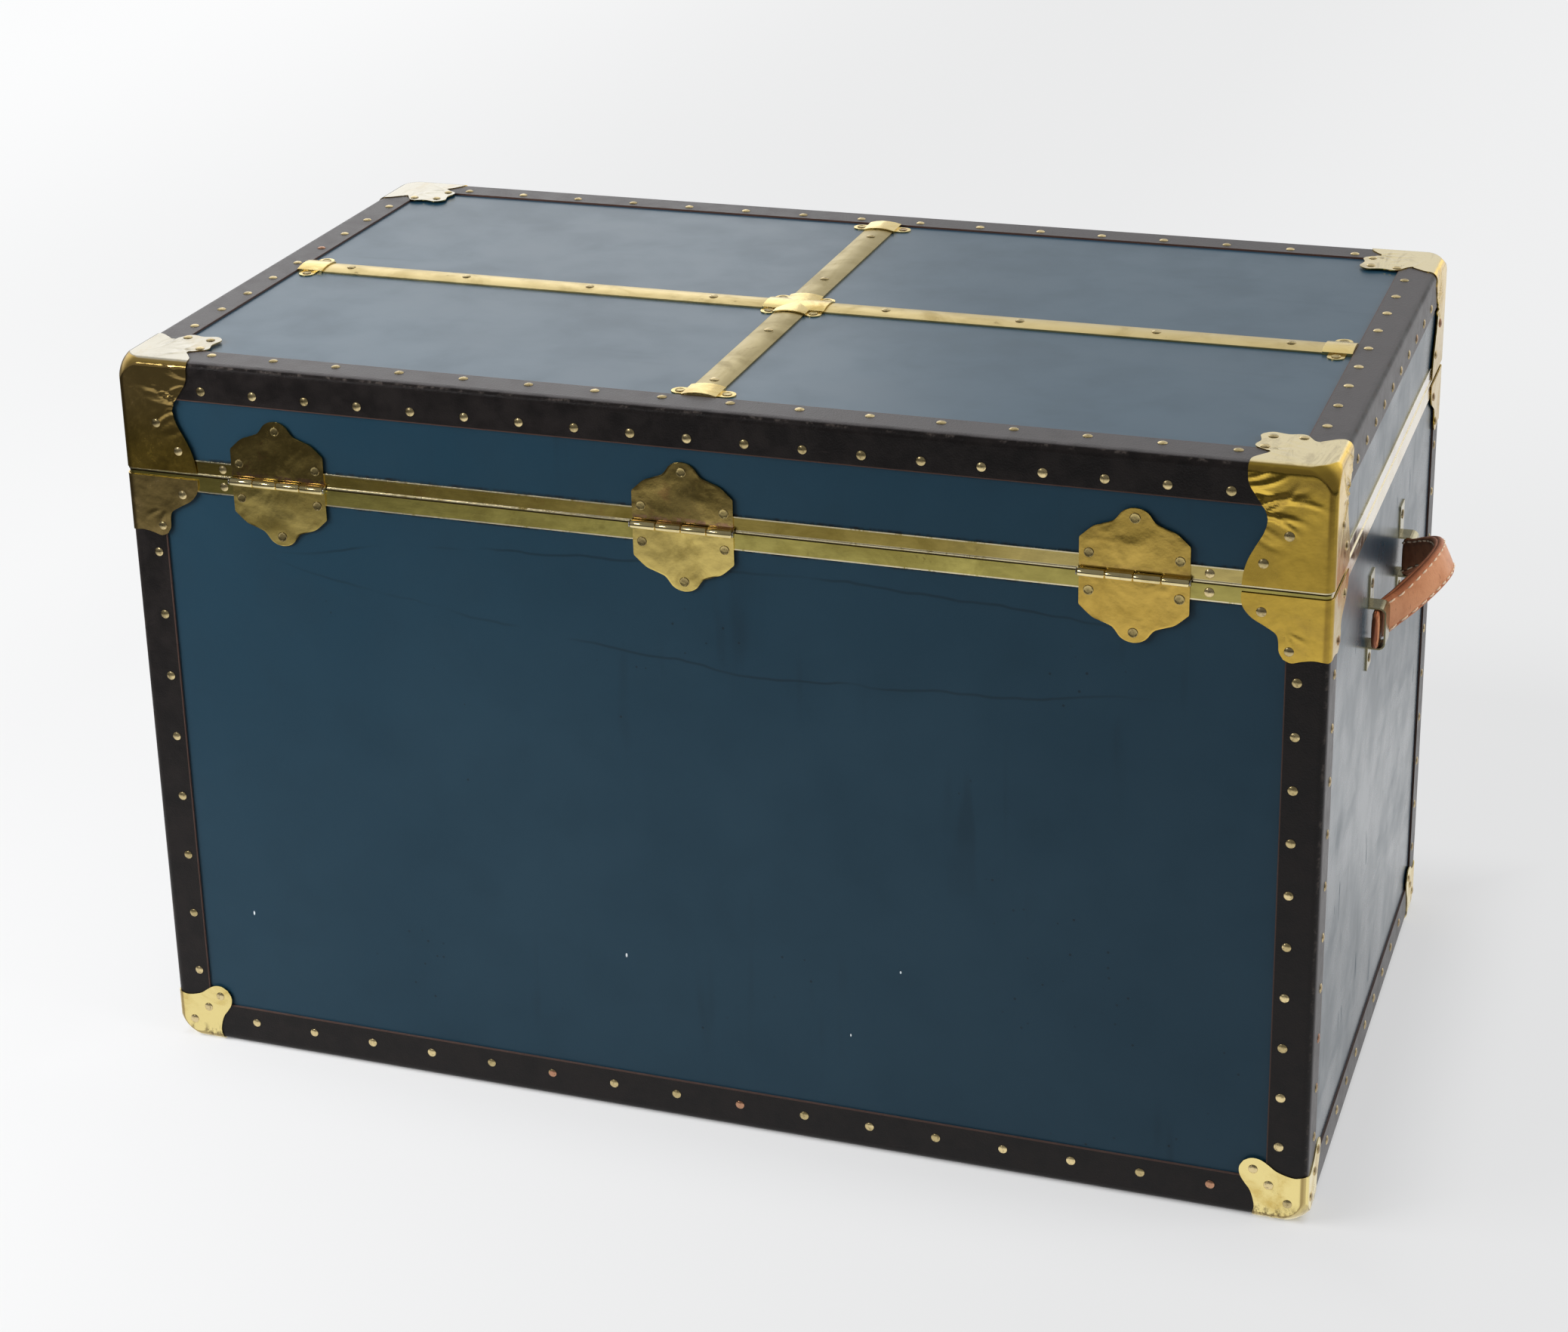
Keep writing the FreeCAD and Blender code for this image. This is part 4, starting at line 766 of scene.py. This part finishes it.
def sheet_corner(name, patches, node, body, look):
    """Builds a pressed corner from patches, each a face's name, its rows of (u, v), the level it starts from,
    whether it goes up or down from there, and its creases. It is made at the back left corner, and the node's
    name says which corner it goes to."""
    bm = bmesh.new()
    for face, rows, level, up, creases in patches:
        grid = []
        for row in rows:
            grid.append([])
            for u, v in row:
                if face == "back":
                    sharp, out = (CAP_X - u, CAP_Y, level + up * v), Vector((0, 1, 0))
                elif face == "end":
                    sharp, out = (CAP_X, CAP_Y - u, level + up * v), Vector((1, 0, 0))
                else:
                    sharp, out = (CAP_X - u, CAP_Y - v, level), Vector((0, 0, -up))
                inside = ease(u, *CREASE_FROM) * (ease(v, *CREASE_FROM) if face == "flat" else 1.0)
                lift = max(ridges(u, v, creases) * inside, -CREASE_DEPTH)
                grid[-1].append(bm.verts.new((skin(*sharp) + out * lift) * MM))
        for row, above in zip(grid, grid[1:]):
            for i in range(len(row) - 1):
                bm.faces.new((row[i], row[i + 1], above[i + 1], above[i]))
    bmesh.ops.remove_doubles(bm, verts=bm.verts, dist=WELD * MM)
    bmesh.ops.recalc_face_normals(bm, faces=bm.faces)
    # The outer faces look away from a place inside the corner
    within = Vector((CAP_X - 30, CAP_Y - 30, patches[0][2] + patches[0][3] * 20)) * MM
    if sum((f.calc_center_median() - within).dot(f.normal) * f.calc_area() for f in bm.faces) < 0:
        bmesh.ops.reverse_faces(bm, faces=bm.faces)
    flip_x, flip_y = -1 if "right" in node else 1, -1 if "front" in node else 1
    for v in bm.verts:
        v.co = Vector((v.co.x * flip_x, v.co.y * flip_y, v.co.z))
    if flip_x * flip_y < 0:
        bmesh.ops.reverse_faces(bm, faces=bm.faces)
    mesh = bpy.data.meshes.new(name)
    bm.to_mesh(mesh)
    bm.free()
    mesh.materials.append(look)
    piece = place_piece(name, mesh, body)
    thick = piece.modifiers.new("sheet", "SOLIDIFY")
    thick.thickness = (CAP_SHEET - SHEET_PLAY) * MM
    thick.offset = -1.0
    thick.use_even_offset = True
    split_edges(piece, degrees=55)
    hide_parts(node)


for number, corner in enumerate(("back_left", "back_right", "front_left", "front_right")):
    draws = random.Random(CORNER_SEED + number)
    for name, patches, node, body, look in (
            ("lid_cap_", cap_patches(draws), "lid_corner_", "lid", "cap"),
            ("clamp_", clamp_patches(draws), "base_clamp_", "base", "clamp"),
            ("foot_", foot_patches(draws), "bottom_corner_", "base", "foot")):
        sheet_corner(name + corner, patches, node + corner, body, looks[look])


# Hinge leaves: sheets that slope from the rims down to the boards, and rolled knuckles

HINGES = (328.0, 5.0, -323.0)
# The right hinge, beyond this x, lies flattest
FLAT_FROM = -200.0
RIM_SHEET = 1.2
LEAF_HALF = 38.5
LEAF_REACH = 49.5
LEAF_SHEET = 1.3
LEAF_GAP = 0.1
LEAF_BEVEL = 0.06
TAB_LAP = 0.2
LEAF_SLOPE = 0.75
LEAF_START = 0.073
LEAF_SIDE = ((1.0, 0.485), (0.992, 0.507), (0.965, 0.528), (0.76, 0.670), (0.60, 0.722), (0.46, 0.762),
             (0.385, 0.79), (0.325, 0.840), (0.253, 0.918), (0.179, 0.963), (0.093, 0.990), (0.0, 1.0))
LEAF_COLUMNS = 26
STRAIGHT_ROWS = 14
OUTLINE_ROWS = 34
# The half width of a leaf's last row
LEAF_TIP = 0.02
DENTS = 7
DENT_ALONG = 26.0
DENT_SHARES = (0.15, 0.8)
DENT_SIZES = (6.0, 13.0)
DENT_DEPTHS = (0.10, 0.26)
EDGE_ROLL = 0.55
KNUCKLE = 3.25
# The rounded end of a knuckle, as the distance from its end and the radius
KNUCKLE_END = ((0.0, 2.3), (0.25, 2.8), (0.6, 3.12), (0.9, KNUCKLE))
KNUCKLE_SIDES = 40
KNUCKLES = 4
GROOVE_DEPTH = 0.3
GROOVE_WIDTH = 0.13
GROOVE_TURN = 0.35
BARREL = 78.0
PLAY = 0.3
BOX_FACES = ((0, 1, 2, 3), (7, 6, 5, 4), (0, 4, 5, 1), (1, 5, 6, 2), (2, 6, 7, 3), (3, 7, 4, 0))


def leaf_sink(x, z):
    """How far a leaf's outer face falls back towards the board."""
    return LEAF_SLOPE * (0.0 if x < FLAT_FROM else 1.0) * clamp(abs(z - SPLIT) / LEAF_REACH)


def knuckle(points, faces, place, aside, start, end, groove):
    """A knuckle along X, with rounded ends and a groove where its sheet rolls in."""
    rings = [(start + gap, radius) for gap, radius in KNUCKLE_END]
    rings += [(end - gap, radius) for gap, radius in reversed(KNUCKLE_END)]
    first = len(points)
    axis = Vector((1, 0, 0))
    other = axis.cross(aside)
    for far, radius in rings:
        for i in range(KNUCKLE_SIDES):
            turn = math.tau * i / KNUCKLE_SIDES
            cut = GROOVE_DEPTH * math.exp(-((turn - groove) / GROOVE_WIDTH) ** 2)
            spoke = aside * math.cos(turn) + other * math.sin(turn)
            points.append((place + axis * far + spoke * (radius - cut)) * MM)
    wrap(faces, first, len(rings), KNUCKLE_SIDES)
    close_ends(faces, first, len(rings), KNUCKLE_SIDES)


def leaf_sheet(points, faces, place, up, rng):
    """One leaf's sheet with rolled edges and shallow dents, as a closed shell."""
    dents = [(rng.uniform(-DENT_ALONG, DENT_ALONG), rng.uniform(*DENT_SHARES) * LEAF_REACH,
              rng.uniform(*DENT_SIZES), rng.uniform(*DENT_DEPTHS) * rng.choice((1, -1)))
             for _ in range(DENTS)]
    side = [Vector((LEAF_HALF,
                    LEAF_REACH * (LEAF_START + (LEAF_SIDE[0][1] - LEAF_START) * i / STRAIGHT_ROWS)))
            for i in range(STRAIGHT_ROWS)]
    side += curve_through(scaled(LEAF_SIDE, LEAF_HALF, LEAF_REACH), OUTLINE_ROWS)[:-1]
    side.append(Vector((LEAF_TIP, LEAF_REACH)))
    count = LEAF_COLUMNS + 1
    flatter = 0.5 if place < FLAT_FROM else 1.0
    first = len(points)
    back = HALF_Y + RIM_SHEET
    for outer in (True, False):
        for row, p in enumerate(side):
            inner = max(0.0, 1 - EDGE_ROLL / max(p.x, 0.6))
            for i in range(count):
                s = 2 * i / LEAF_COLUMNS - 1
                if 0 < i < LEAF_COLUMNS:
                    s = clamp(s, -inner, inner)
                a, b = p.x * s, p.y
                y = back + LEAF_GAP
                if outer:
                    edge = 1.0 if i in (0, LEAF_COLUMNS) or row > len(side) - 3 else 0.0
                    y = back + LEAF_SHEET - LEAF_BEVEL * edge
                    for cx, cb, size, deep in dents:
                        away = ((a - cx) ** 2 + (b - cb) ** 2) / size ** 2
                        y += flatter * deep * math.exp(-away) * (1 - edge)
                points.append(Vector((place + a, y - leaf_sink(place, SPLIT + b), SPLIT + up * b)) * MM)
    size = count * len(side)
    for layer in (0, 1):
        for row in range(len(side) - 1):
            for i in range(count - 1):
                a = first + layer * size + row * count + i
                quad = (a, a + 1, a + count + 1, a + count)
                faces.append(quad if (layer == 0) == (up < 0) else quad[::-1])
    ring = [row * count for row in range(len(side))] + [size - count + i for i in range(1, count)]
    ring += [row * count + count - 1 for row in range(len(side) - 2, -1, -1)] + [*range(count - 2, 0, -1)]
    for i, j in zip(ring, ring[1:] + ring[:1]):
        quad = (first + i, first + j, first + size + j, first + size + i)
        faces.append(quad if up > 0 else quad[::-1])


def make_leaves(name, node, body, up, look, seed):
    rng = random.Random(seed)
    points, faces, face_slots = [], [], []
    back = HALF_Y + RIM_SHEET
    axis = Vector((0, back + KNUCKLE + PLAY, SPLIT))
    each = BARREL / KNUCKLES
    for place in HINGES:
        leaf_sheet(points, faces, place, up, rng)
        face_slots += [0] * (len(faces) - len(face_slots))
        for i in range(0 if up > 0 else 1, KNUCKLES, 2):
            start = place - BARREL / 2 + i * each + PLAY / 2
            end = place - BARREL / 2 + (i + 1) * each - PLAY / 2
            knuckle(points, faces, axis, Vector((0, 0, -up)), start, end, math.pi - up * GROOVE_TURN)
            face_slots += [1] * (len(faces) - len(face_slots))
            low, high = SPLIT + up * PLAY, SPLIT + up * (LEAF_START * LEAF_REACH + TAB_LAP)
            first = len(points)
            for y in (back + LEAF_GAP, back + LEAF_SHEET):
                points += [Vector((x, y, z)) * MM
                           for x, z in ((start, low), (end, low), (end, high), (start, high))]
            faces += [tuple(first + k for k in (quad if up > 0 else quad[::-1])) for quad in BOX_FACES]
            face_slots += [0] * len(BOX_FACES)
    piece = new_piece(name, points, faces, [look, looks["barrel"]], body, face_slots)
    split_edges(piece, degrees=40)
    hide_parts(node)


make_leaves("hinge_leaves_upper", "upper_hinge_leaves", "lid", 1, looks["leaf_up"], seed=21)
make_leaves("hinge_leaves_lower", "lower_hinge_leaves", "base", -1, looks["leaf_low"], seed=22)


# Rivet heads, one lathed head for each solid of the CAD's rivet nodes

# Profiles, as pairs of radius and height
DOMED = ((3.50, 0.0), (3.55, 0.10), (3.50, 0.26), (3.22, 0.48), (2.75, 0.74), (2.1, 1.00), (1.3, 1.19),
         (0.55, 1.28))
FLAT = ((3.70, 0.0), (3.72, 0.22), (3.60, 0.46), (3.38, 0.56), (3.12, 0.53), (2.80, 0.28), (2.3, 0.20),
        (0.4, 0.22))
# A CAD head taller than this is domed
DOME_TALL = 0.9
HEAD_RADIUS = 3.5
HEAD_SIDES = 28
HEAD_LEAN = 0.05
HEAD_SIZES = (0.96, 1.03)
# How far a head's middle stands above its last ring
HEAD_TIP = 0.01
RIVET_SEED = 7


def islands(mesh):
    """The lowest and highest corner of each connected part of a mesh."""
    parent = list(range(len(mesh.vertices)))

    def root(i):
        while parent[i] != i:
            parent[i] = parent[parent[i]]
            i = parent[i]
        return i

    seen = {}
    for v in mesh.vertices:
        key = tuple(round(c, 6) for c in v.co)
        if key in seen:
            parent[root(v.index)] = root(seen[key])
        seen[key] = v.index
    for edge in mesh.edges:
        a, b = root(edge.vertices[0]), root(edge.vertices[1])
        if a != b:
            parent[a] = b
    boxes = {}
    for v in mesh.vertices:
        low, high = boxes.setdefault(root(v.index), (v.co.copy(), v.co.copy()))
        for k in range(3):
            low[k] = min(low[k], v.co[k])
            high[k] = max(high[k], v.co[k])
    return sorted(boxes.values(), key=lambda b: tuple(round(c, 4) for c in b[0]))


def make_rivets(node, name, body):
    """A head at each of the node's solids, a little crooked and never quite the same size."""
    rng = random.Random(RIVET_SEED)
    points, faces, face_slots = [], [], []
    for low, high in islands(nodes[node].data):
        size, middle = high - low, (low + high) / 2
        k = min(range(3), key=lambda i: size[i])
        out = Vector((0, 0, 0))
        out[k] = 1.0 if middle[k] > 0 else -1.0
        foot = middle.copy()
        foot[k] = low[k] if out[k] > 0 else high[k]
        profile = DOMED if size[k] > DOME_TALL * MM else FLAT
        if k == 1 and out.y > 0 and profile is FLAT:
            foot.y -= leaf_sink(foot.x / MM, foot.z / MM) * MM
        a = Vector((0, 0, 1)).cross(out) if k != 2 else Vector((1, 0, 0))
        b = out.cross(a)
        lean = Vector((rng.uniform(-1, 1), rng.uniform(-1, 1))) * HEAD_LEAN
        wide = rng.uniform(*HEAD_SIZES)
        first = len(points)
        for radius, height in profile:
            for i in range(HEAD_SIDES):
                turn = math.tau * i / HEAD_SIDES
                across, up = radius * wide * math.cos(turn), radius * wide * math.sin(turn)
                rise = height * (1 + (lean.x * across + lean.y * up) / HEAD_RADIUS)
                points.append(foot + (a * across + b * up + out * rise) * MM)
        points.append(foot + out * (profile[-1][1] + HEAD_TIP) * MM)
        points.append(foot)
        top, bottom = len(points) - 2, len(points) - 1
        wrap(faces, first, len(profile), HEAD_SIDES)
        last = first + (len(profile) - 1) * HEAD_SIDES
        for i in range(HEAD_SIDES):
            j = (i + 1) % HEAD_SIDES
            faces.append((last + i, last + j, top))
            faces.append((first + j, first + i, bottom))
        face_slots += [1 if profile is FLAT else 0] * (len(faces) - len(face_slots))
    materials = [looks["rivet"], looks["rivet_flat"]]
    piece = new_piece(name, points, faces, materials, body, face_slots)
    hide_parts(node)


make_rivets("lid_rivets", "lid_rivet_heads", "lid")
make_rivets("base_rivets", "base_rivet_heads", "base")


# Leather straps

HANDLE_LEVEL = 395.0
WINDOW_DEPTH = 12.2
TAB_END = 86.0
TAB_WIDE = 29.0
TAB_THICK = 5.0
# The bowed stretch's half length, and how much longer it is along its curve
BOW = 62.7
BOW_LONGER = 1.2
STRAP_OUT = 36.0
STRAP_UP = 27.0
STRAP_LEAN = 25.0
STRAP_WIDE = 25.0
STRAP_THICK = 8.0
STRAP_STEPS = 84
END_TAPER = 0.22
STITCH_PITCH = 7.4
STITCH_INSET = 3.0
STITCH_REACH = BOW + 4.0
# The shares of the pitch at which a stitch starts and ends
STITCH_SPAN = (0.14, 0.82)
STITCH_SHARES = (0.0, 0.12, 0.5, 0.88, 1.0)
HOLE_DEPTH = 0.45
THREAD_ARCH = 0.72
THREAD_RADIUS = (0.34, 0.40)
STITCH_SIDES = 7
# The points of the strap's outer face from its edge to its row of stitches, which the border look covers
BORDER = 4
FACE_SLOT, EDGE_SLOT, BACK_SLOT, BORDER_SLOT = 0, 1, 2, 3
BACK_INSET = 0.25


def strap_frame(y):
    """The strap's middle, its two directions and its half sizes at a place along it, at the left end."""
    t = clamp(abs(y) / BOW)
    rise = 1 - t * t
    lean = math.radians(STRAP_LEAN) * rise
    middle = Vector((HALF_X + WINDOW_DEPTH / 2 + STRAP_OUT * rise, y, HANDLE_LEVEL + STRAP_UP * rise))
    out = Vector((math.cos(lean), 0, math.sin(lean)))
    up = Vector((-math.sin(lean), 0, math.cos(lean)))
    slope = -2 * y / BOW ** 2 if abs(y) < BOW else 0.0
    run = Vector((STRAP_OUT * slope, 1, STRAP_UP * slope)).normalized()
    out = (out - run * out.dot(run)).normalized()
    wide = TAB_WIDE / 2 + (STRAP_WIDE - TAB_WIDE) / 2 * ease(rise, 0.0, 0.35)
    thick = TAB_THICK / 2 + (STRAP_THICK - TAB_THICK) / 2 * ease(rise, 0.0, 0.5)
    return middle, out, up, wide, thick


def strap_section(wide, thick):
    """Points round the strap's section as (across, out), and the material slot of each stretch after a point.
    The outer face is crowned, with a channel for each row of stitches."""
    face = [(-wide + 0.3, thick - 1.5), (-wide + 0.8, thick - 0.6), (-wide + 1.8, thick - 0.05),
            (-wide + STITCH_INSET - 0.6, thick), (-wide + STITCH_INSET, thick - 0.4),
            (-wide + STITCH_INSET + 0.7, thick + 0.05), (-wide * 0.45, thick + 0.35), (0.0, thick + 0.42)]
    face += [(-a, b) for a, b in reversed(face[:-1])]
    edge = [(wide, thick * 0.4), (wide - 0.1, 0.45), (wide - 0.7, 0.0), (wide - 0.1, -0.45),
            (wide, -thick * 0.4)]
    back = [(-a, -b + BACK_INSET) for a, b in face]
    other = [(-a, -b) for a, b in edge]
    slots = [BORDER_SLOT] * BORDER + [FACE_SLOT] * (len(face) - 1 - 2 * BORDER) + [BORDER_SLOT] * BORDER
    slots += [EDGE_SLOT] * (len(edge) + 1) + [BACK_SLOT] * (len(back) - 1) + [EDGE_SLOT] * (len(other) + 1)
    return face + edge + back + other, slots


def make_strap(side, sign):
    points, faces, face_slots = [], [], []
    for i in range(STRAP_STEPS + 1):
        middle, out, up, wide, thick = strap_frame(-TAB_END + 2 * TAB_END * i / STRAP_STEPS)
        end = 1 - END_TAPER * (1 - ease(min(i, STRAP_STEPS - i), 0, 1.2))
        ring, slots = strap_section(wide * end, thick * end)
        for a, b in ring:
            p = middle + up * a + out * b
            points.append(Vector((p.x * sign, p.y, p.z)) * MM)
    count = len(ring)
    for i in range(STRAP_STEPS):
        for k in range(count):
            j = (k + 1) % count
            a, b = i * count, (i + 1) * count
            quad = (a + k, b + k, b + j, a + j)
            faces.append(quad if sign > 0 else quad[::-1])
            face_slots.append(slots[k])
    for start, order in ((0, 1), (STRAP_STEPS * count, -1)):
        faces.append(tuple(start + k for k in range(count))[::order * sign])
        face_slots.append(EDGE_SLOT)
    materials = [looks["leather"], looks["leather_edge"], looks["leather_back"], looks["leather_border"]]
    piece = new_piece("leather_strap_" + side, points, faces, materials, "handle_" + side,
                      face_slots)
    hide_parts("handle_strap_" + side)


def stitch_point(y, face, edge, share, sign):
    """A point of a stitch and its radius there: the thread rises from its hole and dips into the next."""
    middle, out, up, wide, thick = strap_frame(y)
    arch = math.sin(math.pi * share) ** 0.5
    high = (thick - (0.0 if face > 0 else BACK_INSET)) - HOLE_DEPTH + THREAD_ARCH * arch
    p = middle + up * edge * (wide - STITCH_INSET) + out * face * high
    return Vector((p.x * sign, p.y, p.z)), THREAD_RADIUS[0] + THREAD_RADIUS[1] * arch


def tube(points, faces, path):
    """A closed round tube through (point, radius) pairs."""
    first = len(points)
    run = (path[-1][0] - path[0][0]).normalized()
    a = run.orthogonal().normalized()
    b = run.cross(a)
    for p, radius in path:
        for i in range(STITCH_SIDES):
            turn = math.tau * i / STITCH_SIDES
            points.append((p + (a * math.cos(turn) + b * math.sin(turn)) * radius) * MM)
    wrap(faces, first, len(path), STITCH_SIDES)
    close_ends(faces, first, len(path), STITCH_SIDES)


def make_stitches(side, sign):
    """Short round stitches along both edges, on both faces."""
    points, faces = [], []
    count = int(2 * STITCH_REACH * BOW_LONGER / STITCH_PITCH)
    for face in (1, -1):
        for edge in (1, -1):
            for i in range(count):
                y0, y1 = (-STITCH_REACH + 2 * STITCH_REACH * (i + share) / count for share in STITCH_SPAN)
                tube(points, faces,
                     [stitch_point(y0 + (y1 - y0) * s, face, edge, s, sign) for s in STITCH_SHARES])
    new_piece("stitches_" + side, points, faces, [looks["thread"]], "handle_" + side)


for side, sign in (("left", 1), ("right", -1)):
    make_strap(side, sign)
    make_stitches(side, sign)


# Floor, world and lamps, in metres

BACKDROP = (0.885, 0.888, 0.892)
FLOOR_REACH = 30.0
FLOOR_CLOTH = (0.70, 0.70, 0.705)


def make_floor():
    """A white floor. The camera sees it paler than it is, most of all far away, and its shadow soft.
    Reflections see it as a lit sweep: bright round the trunk's foot and beyond its front, at -Y, and dark
    further off towards +Y."""
    corners = [(x * FLOOR_REACH, y * FLOOR_REACH, 0) for x, y in ((-1, -1), (1, -1), (1, 1), (-1, 1))]
    mesh = bpy.data.meshes.new("floor")
    mesh.from_pydata(corners, [], [(0, 1, 2, 3)])
    floor = add_object("floor", mesh)
    material = bpy.data.materials.new("studio_floor")
    p = Tree(material)
    x, y, _ = p.axes()
    # What the camera sees: cloth in the shadow, and the backdrop's colour further from the trunk
    beside = p.most(p.minus(p.unsigned(x), HALF_X * MM), p.minus(p.unsigned(y), HALF_Y * MM))
    paler = p.most(p.step(beside, 0.0, 0.12, 0.58, 0.86), p.step(beside, 0.05, 0.7, 0.6, 1.0))
    paler = p.times(paler, p.step(beside, -0.010, 0.004))
    cloth = p.surface("BsdfDiffuse", Color=FLOOR_CLOTH)
    # The backdrop's strength changes from place to place, a painted soft shade and light: near the trunk
    # darker towards -X and brighter towards +X, and far off at -Y brightest far towards +X.
    far = p.most(p.step(x, 0.6, 2.6, 0.935, 1.10), p.step(x, -0.3, 0.45, 0.975, 0.93))
    close = p.step(x, -0.55, 0.75, 0.91, 1.06)
    share = p.step(y, -2.0, -0.5)
    painted_brightness = p.plus(p.times(close, share), p.times(far, p.minus(1.0, share)))
    seen = p.blend(p.times(p.ray("Is Camera Ray"), paler), cloth,
                   p.surface("Emission", Color=BACKDROP, Strength=painted_brightness))
    # What reflections see
    shaded = p.step(p.distance(x, y, (-0.52, -0.05)), 0.05, 0.36, 0.72, 1.0)
    shaded = p.times(shaded, p.step(y, -0.85, -0.55, 0.88, 1.0))
    lit = p.times(p.step(p.distance(x, y, (-0.3, 0.2)), 0.78, 1.98, 0.95, 0.05), shaded)
    lit = p.most(lit, p.times(p.step(y, -1.05, -0.40, 0.85, 0.0), p.step(x, 0.0, 0.6, 1.0, 0.25)))
    p.show("Material Output", p.blend(p.ray("Is Glossy Ray"), seen, p.surface("Emission", Strength=lit)))
    mesh.materials.append(material)


def make_world():
    """Soft light all round. The camera sees the backdrop's colour, and reflections a room, brighter at -Y."""
    world = bpy.data.worlds.new("studio")
    bpy.context.scene.world = world
    p = Tree(world)
    _, y, _ = p.axes("Generated")
    ambient = p.surface("Background", Strength=0.12)
    room = p.surface("Background", Strength=p.step(y, -0.45, 0.05, 0.99, 0.25))
    shown = p.surface("Background", Color=BACKDROP, Strength=1.0)
    lit = p.blend(p.ray("Is Glossy Ray"), ambient, room)
    p.show("World Output", p.blend(p.ray("Is Camera Ray"), lit, shown))


# Each lamp's name, place, aim, size, power, and whether reflections show it
LAMPS = (
    ("key", (1.45, 1.05, 1.0), (0.15, 0.26, 0.3), 1.1, 46.0, False),
    ("glint", (1.3, 2.1, 1.7), (0.0, 0.26, 0.4), 0.45, 6.0, True),
    ("overhead", (0.2, -0.3, 2.9), (0.0, 0.0, 0.3), 2.6, 30.0, False),
    ("behind", (2.0, -3.0, 1.9), (0.3, 0.0, 0.5), 2.2, 12.0, True),
    ("end", (-1.9, -2.3, 1.0), (-0.4, 0.0, 0.4), 2.0, 6.0, True),
    ("fill", (-2.5, 0.15, 1.5), (-0.45, 0.0, 0.3), 1.6, 42.0, False),
)


def make_lamp(name, place, aim, size, power, mirrored):
    data = bpy.data.lights.new(name, "AREA")
    data.shape = "RECTANGLE"
    data.size = data.size_y = size
    data.energy = power
    light = add_object(name, data)
    light.location = place
    light.rotation_mode = "QUATERNION"
    light.rotation_quaternion = (Vector(aim) - Vector(place)).to_track_quat("-Z", "Y")
    light.visible_camera = False
    light.visible_glossy = mirrored


def make_camera():
    data = bpy.data.cameras.new("camera")
    data.sensor_fit = "HORIZONTAL"
    data.sensor_width = SENSOR
    data.lens = FOCAL_PIXELS / IMAGE_WIDTH * SENSOR
    data.shift_x = (IMAGE_WIDTH / 2 - PRINCIPAL[0]) / IMAGE_WIDTH
    data.shift_y = (PRINCIPAL[1] - IMAGE_HEIGHT / 2) / IMAGE_WIDTH
    camera = add_object("camera", data)
    right, down, ahead = Vector(CAMERA_RIGHT), Vector(CAMERA_DOWN), Vector(CAMERA_AHEAD)
    turn = Matrix((right, -down, -ahead)).transposed()
    camera.matrix_world = Matrix.Translation(CAMERA_PLACE) @ turn.to_4x4()
    bpy.context.scene.camera = camera


make_floor()
make_world()
for lamp in LAMPS:
    make_lamp(*lamp)
make_camera()
bpy.context.scene.view_settings.view_transform = "Standard"
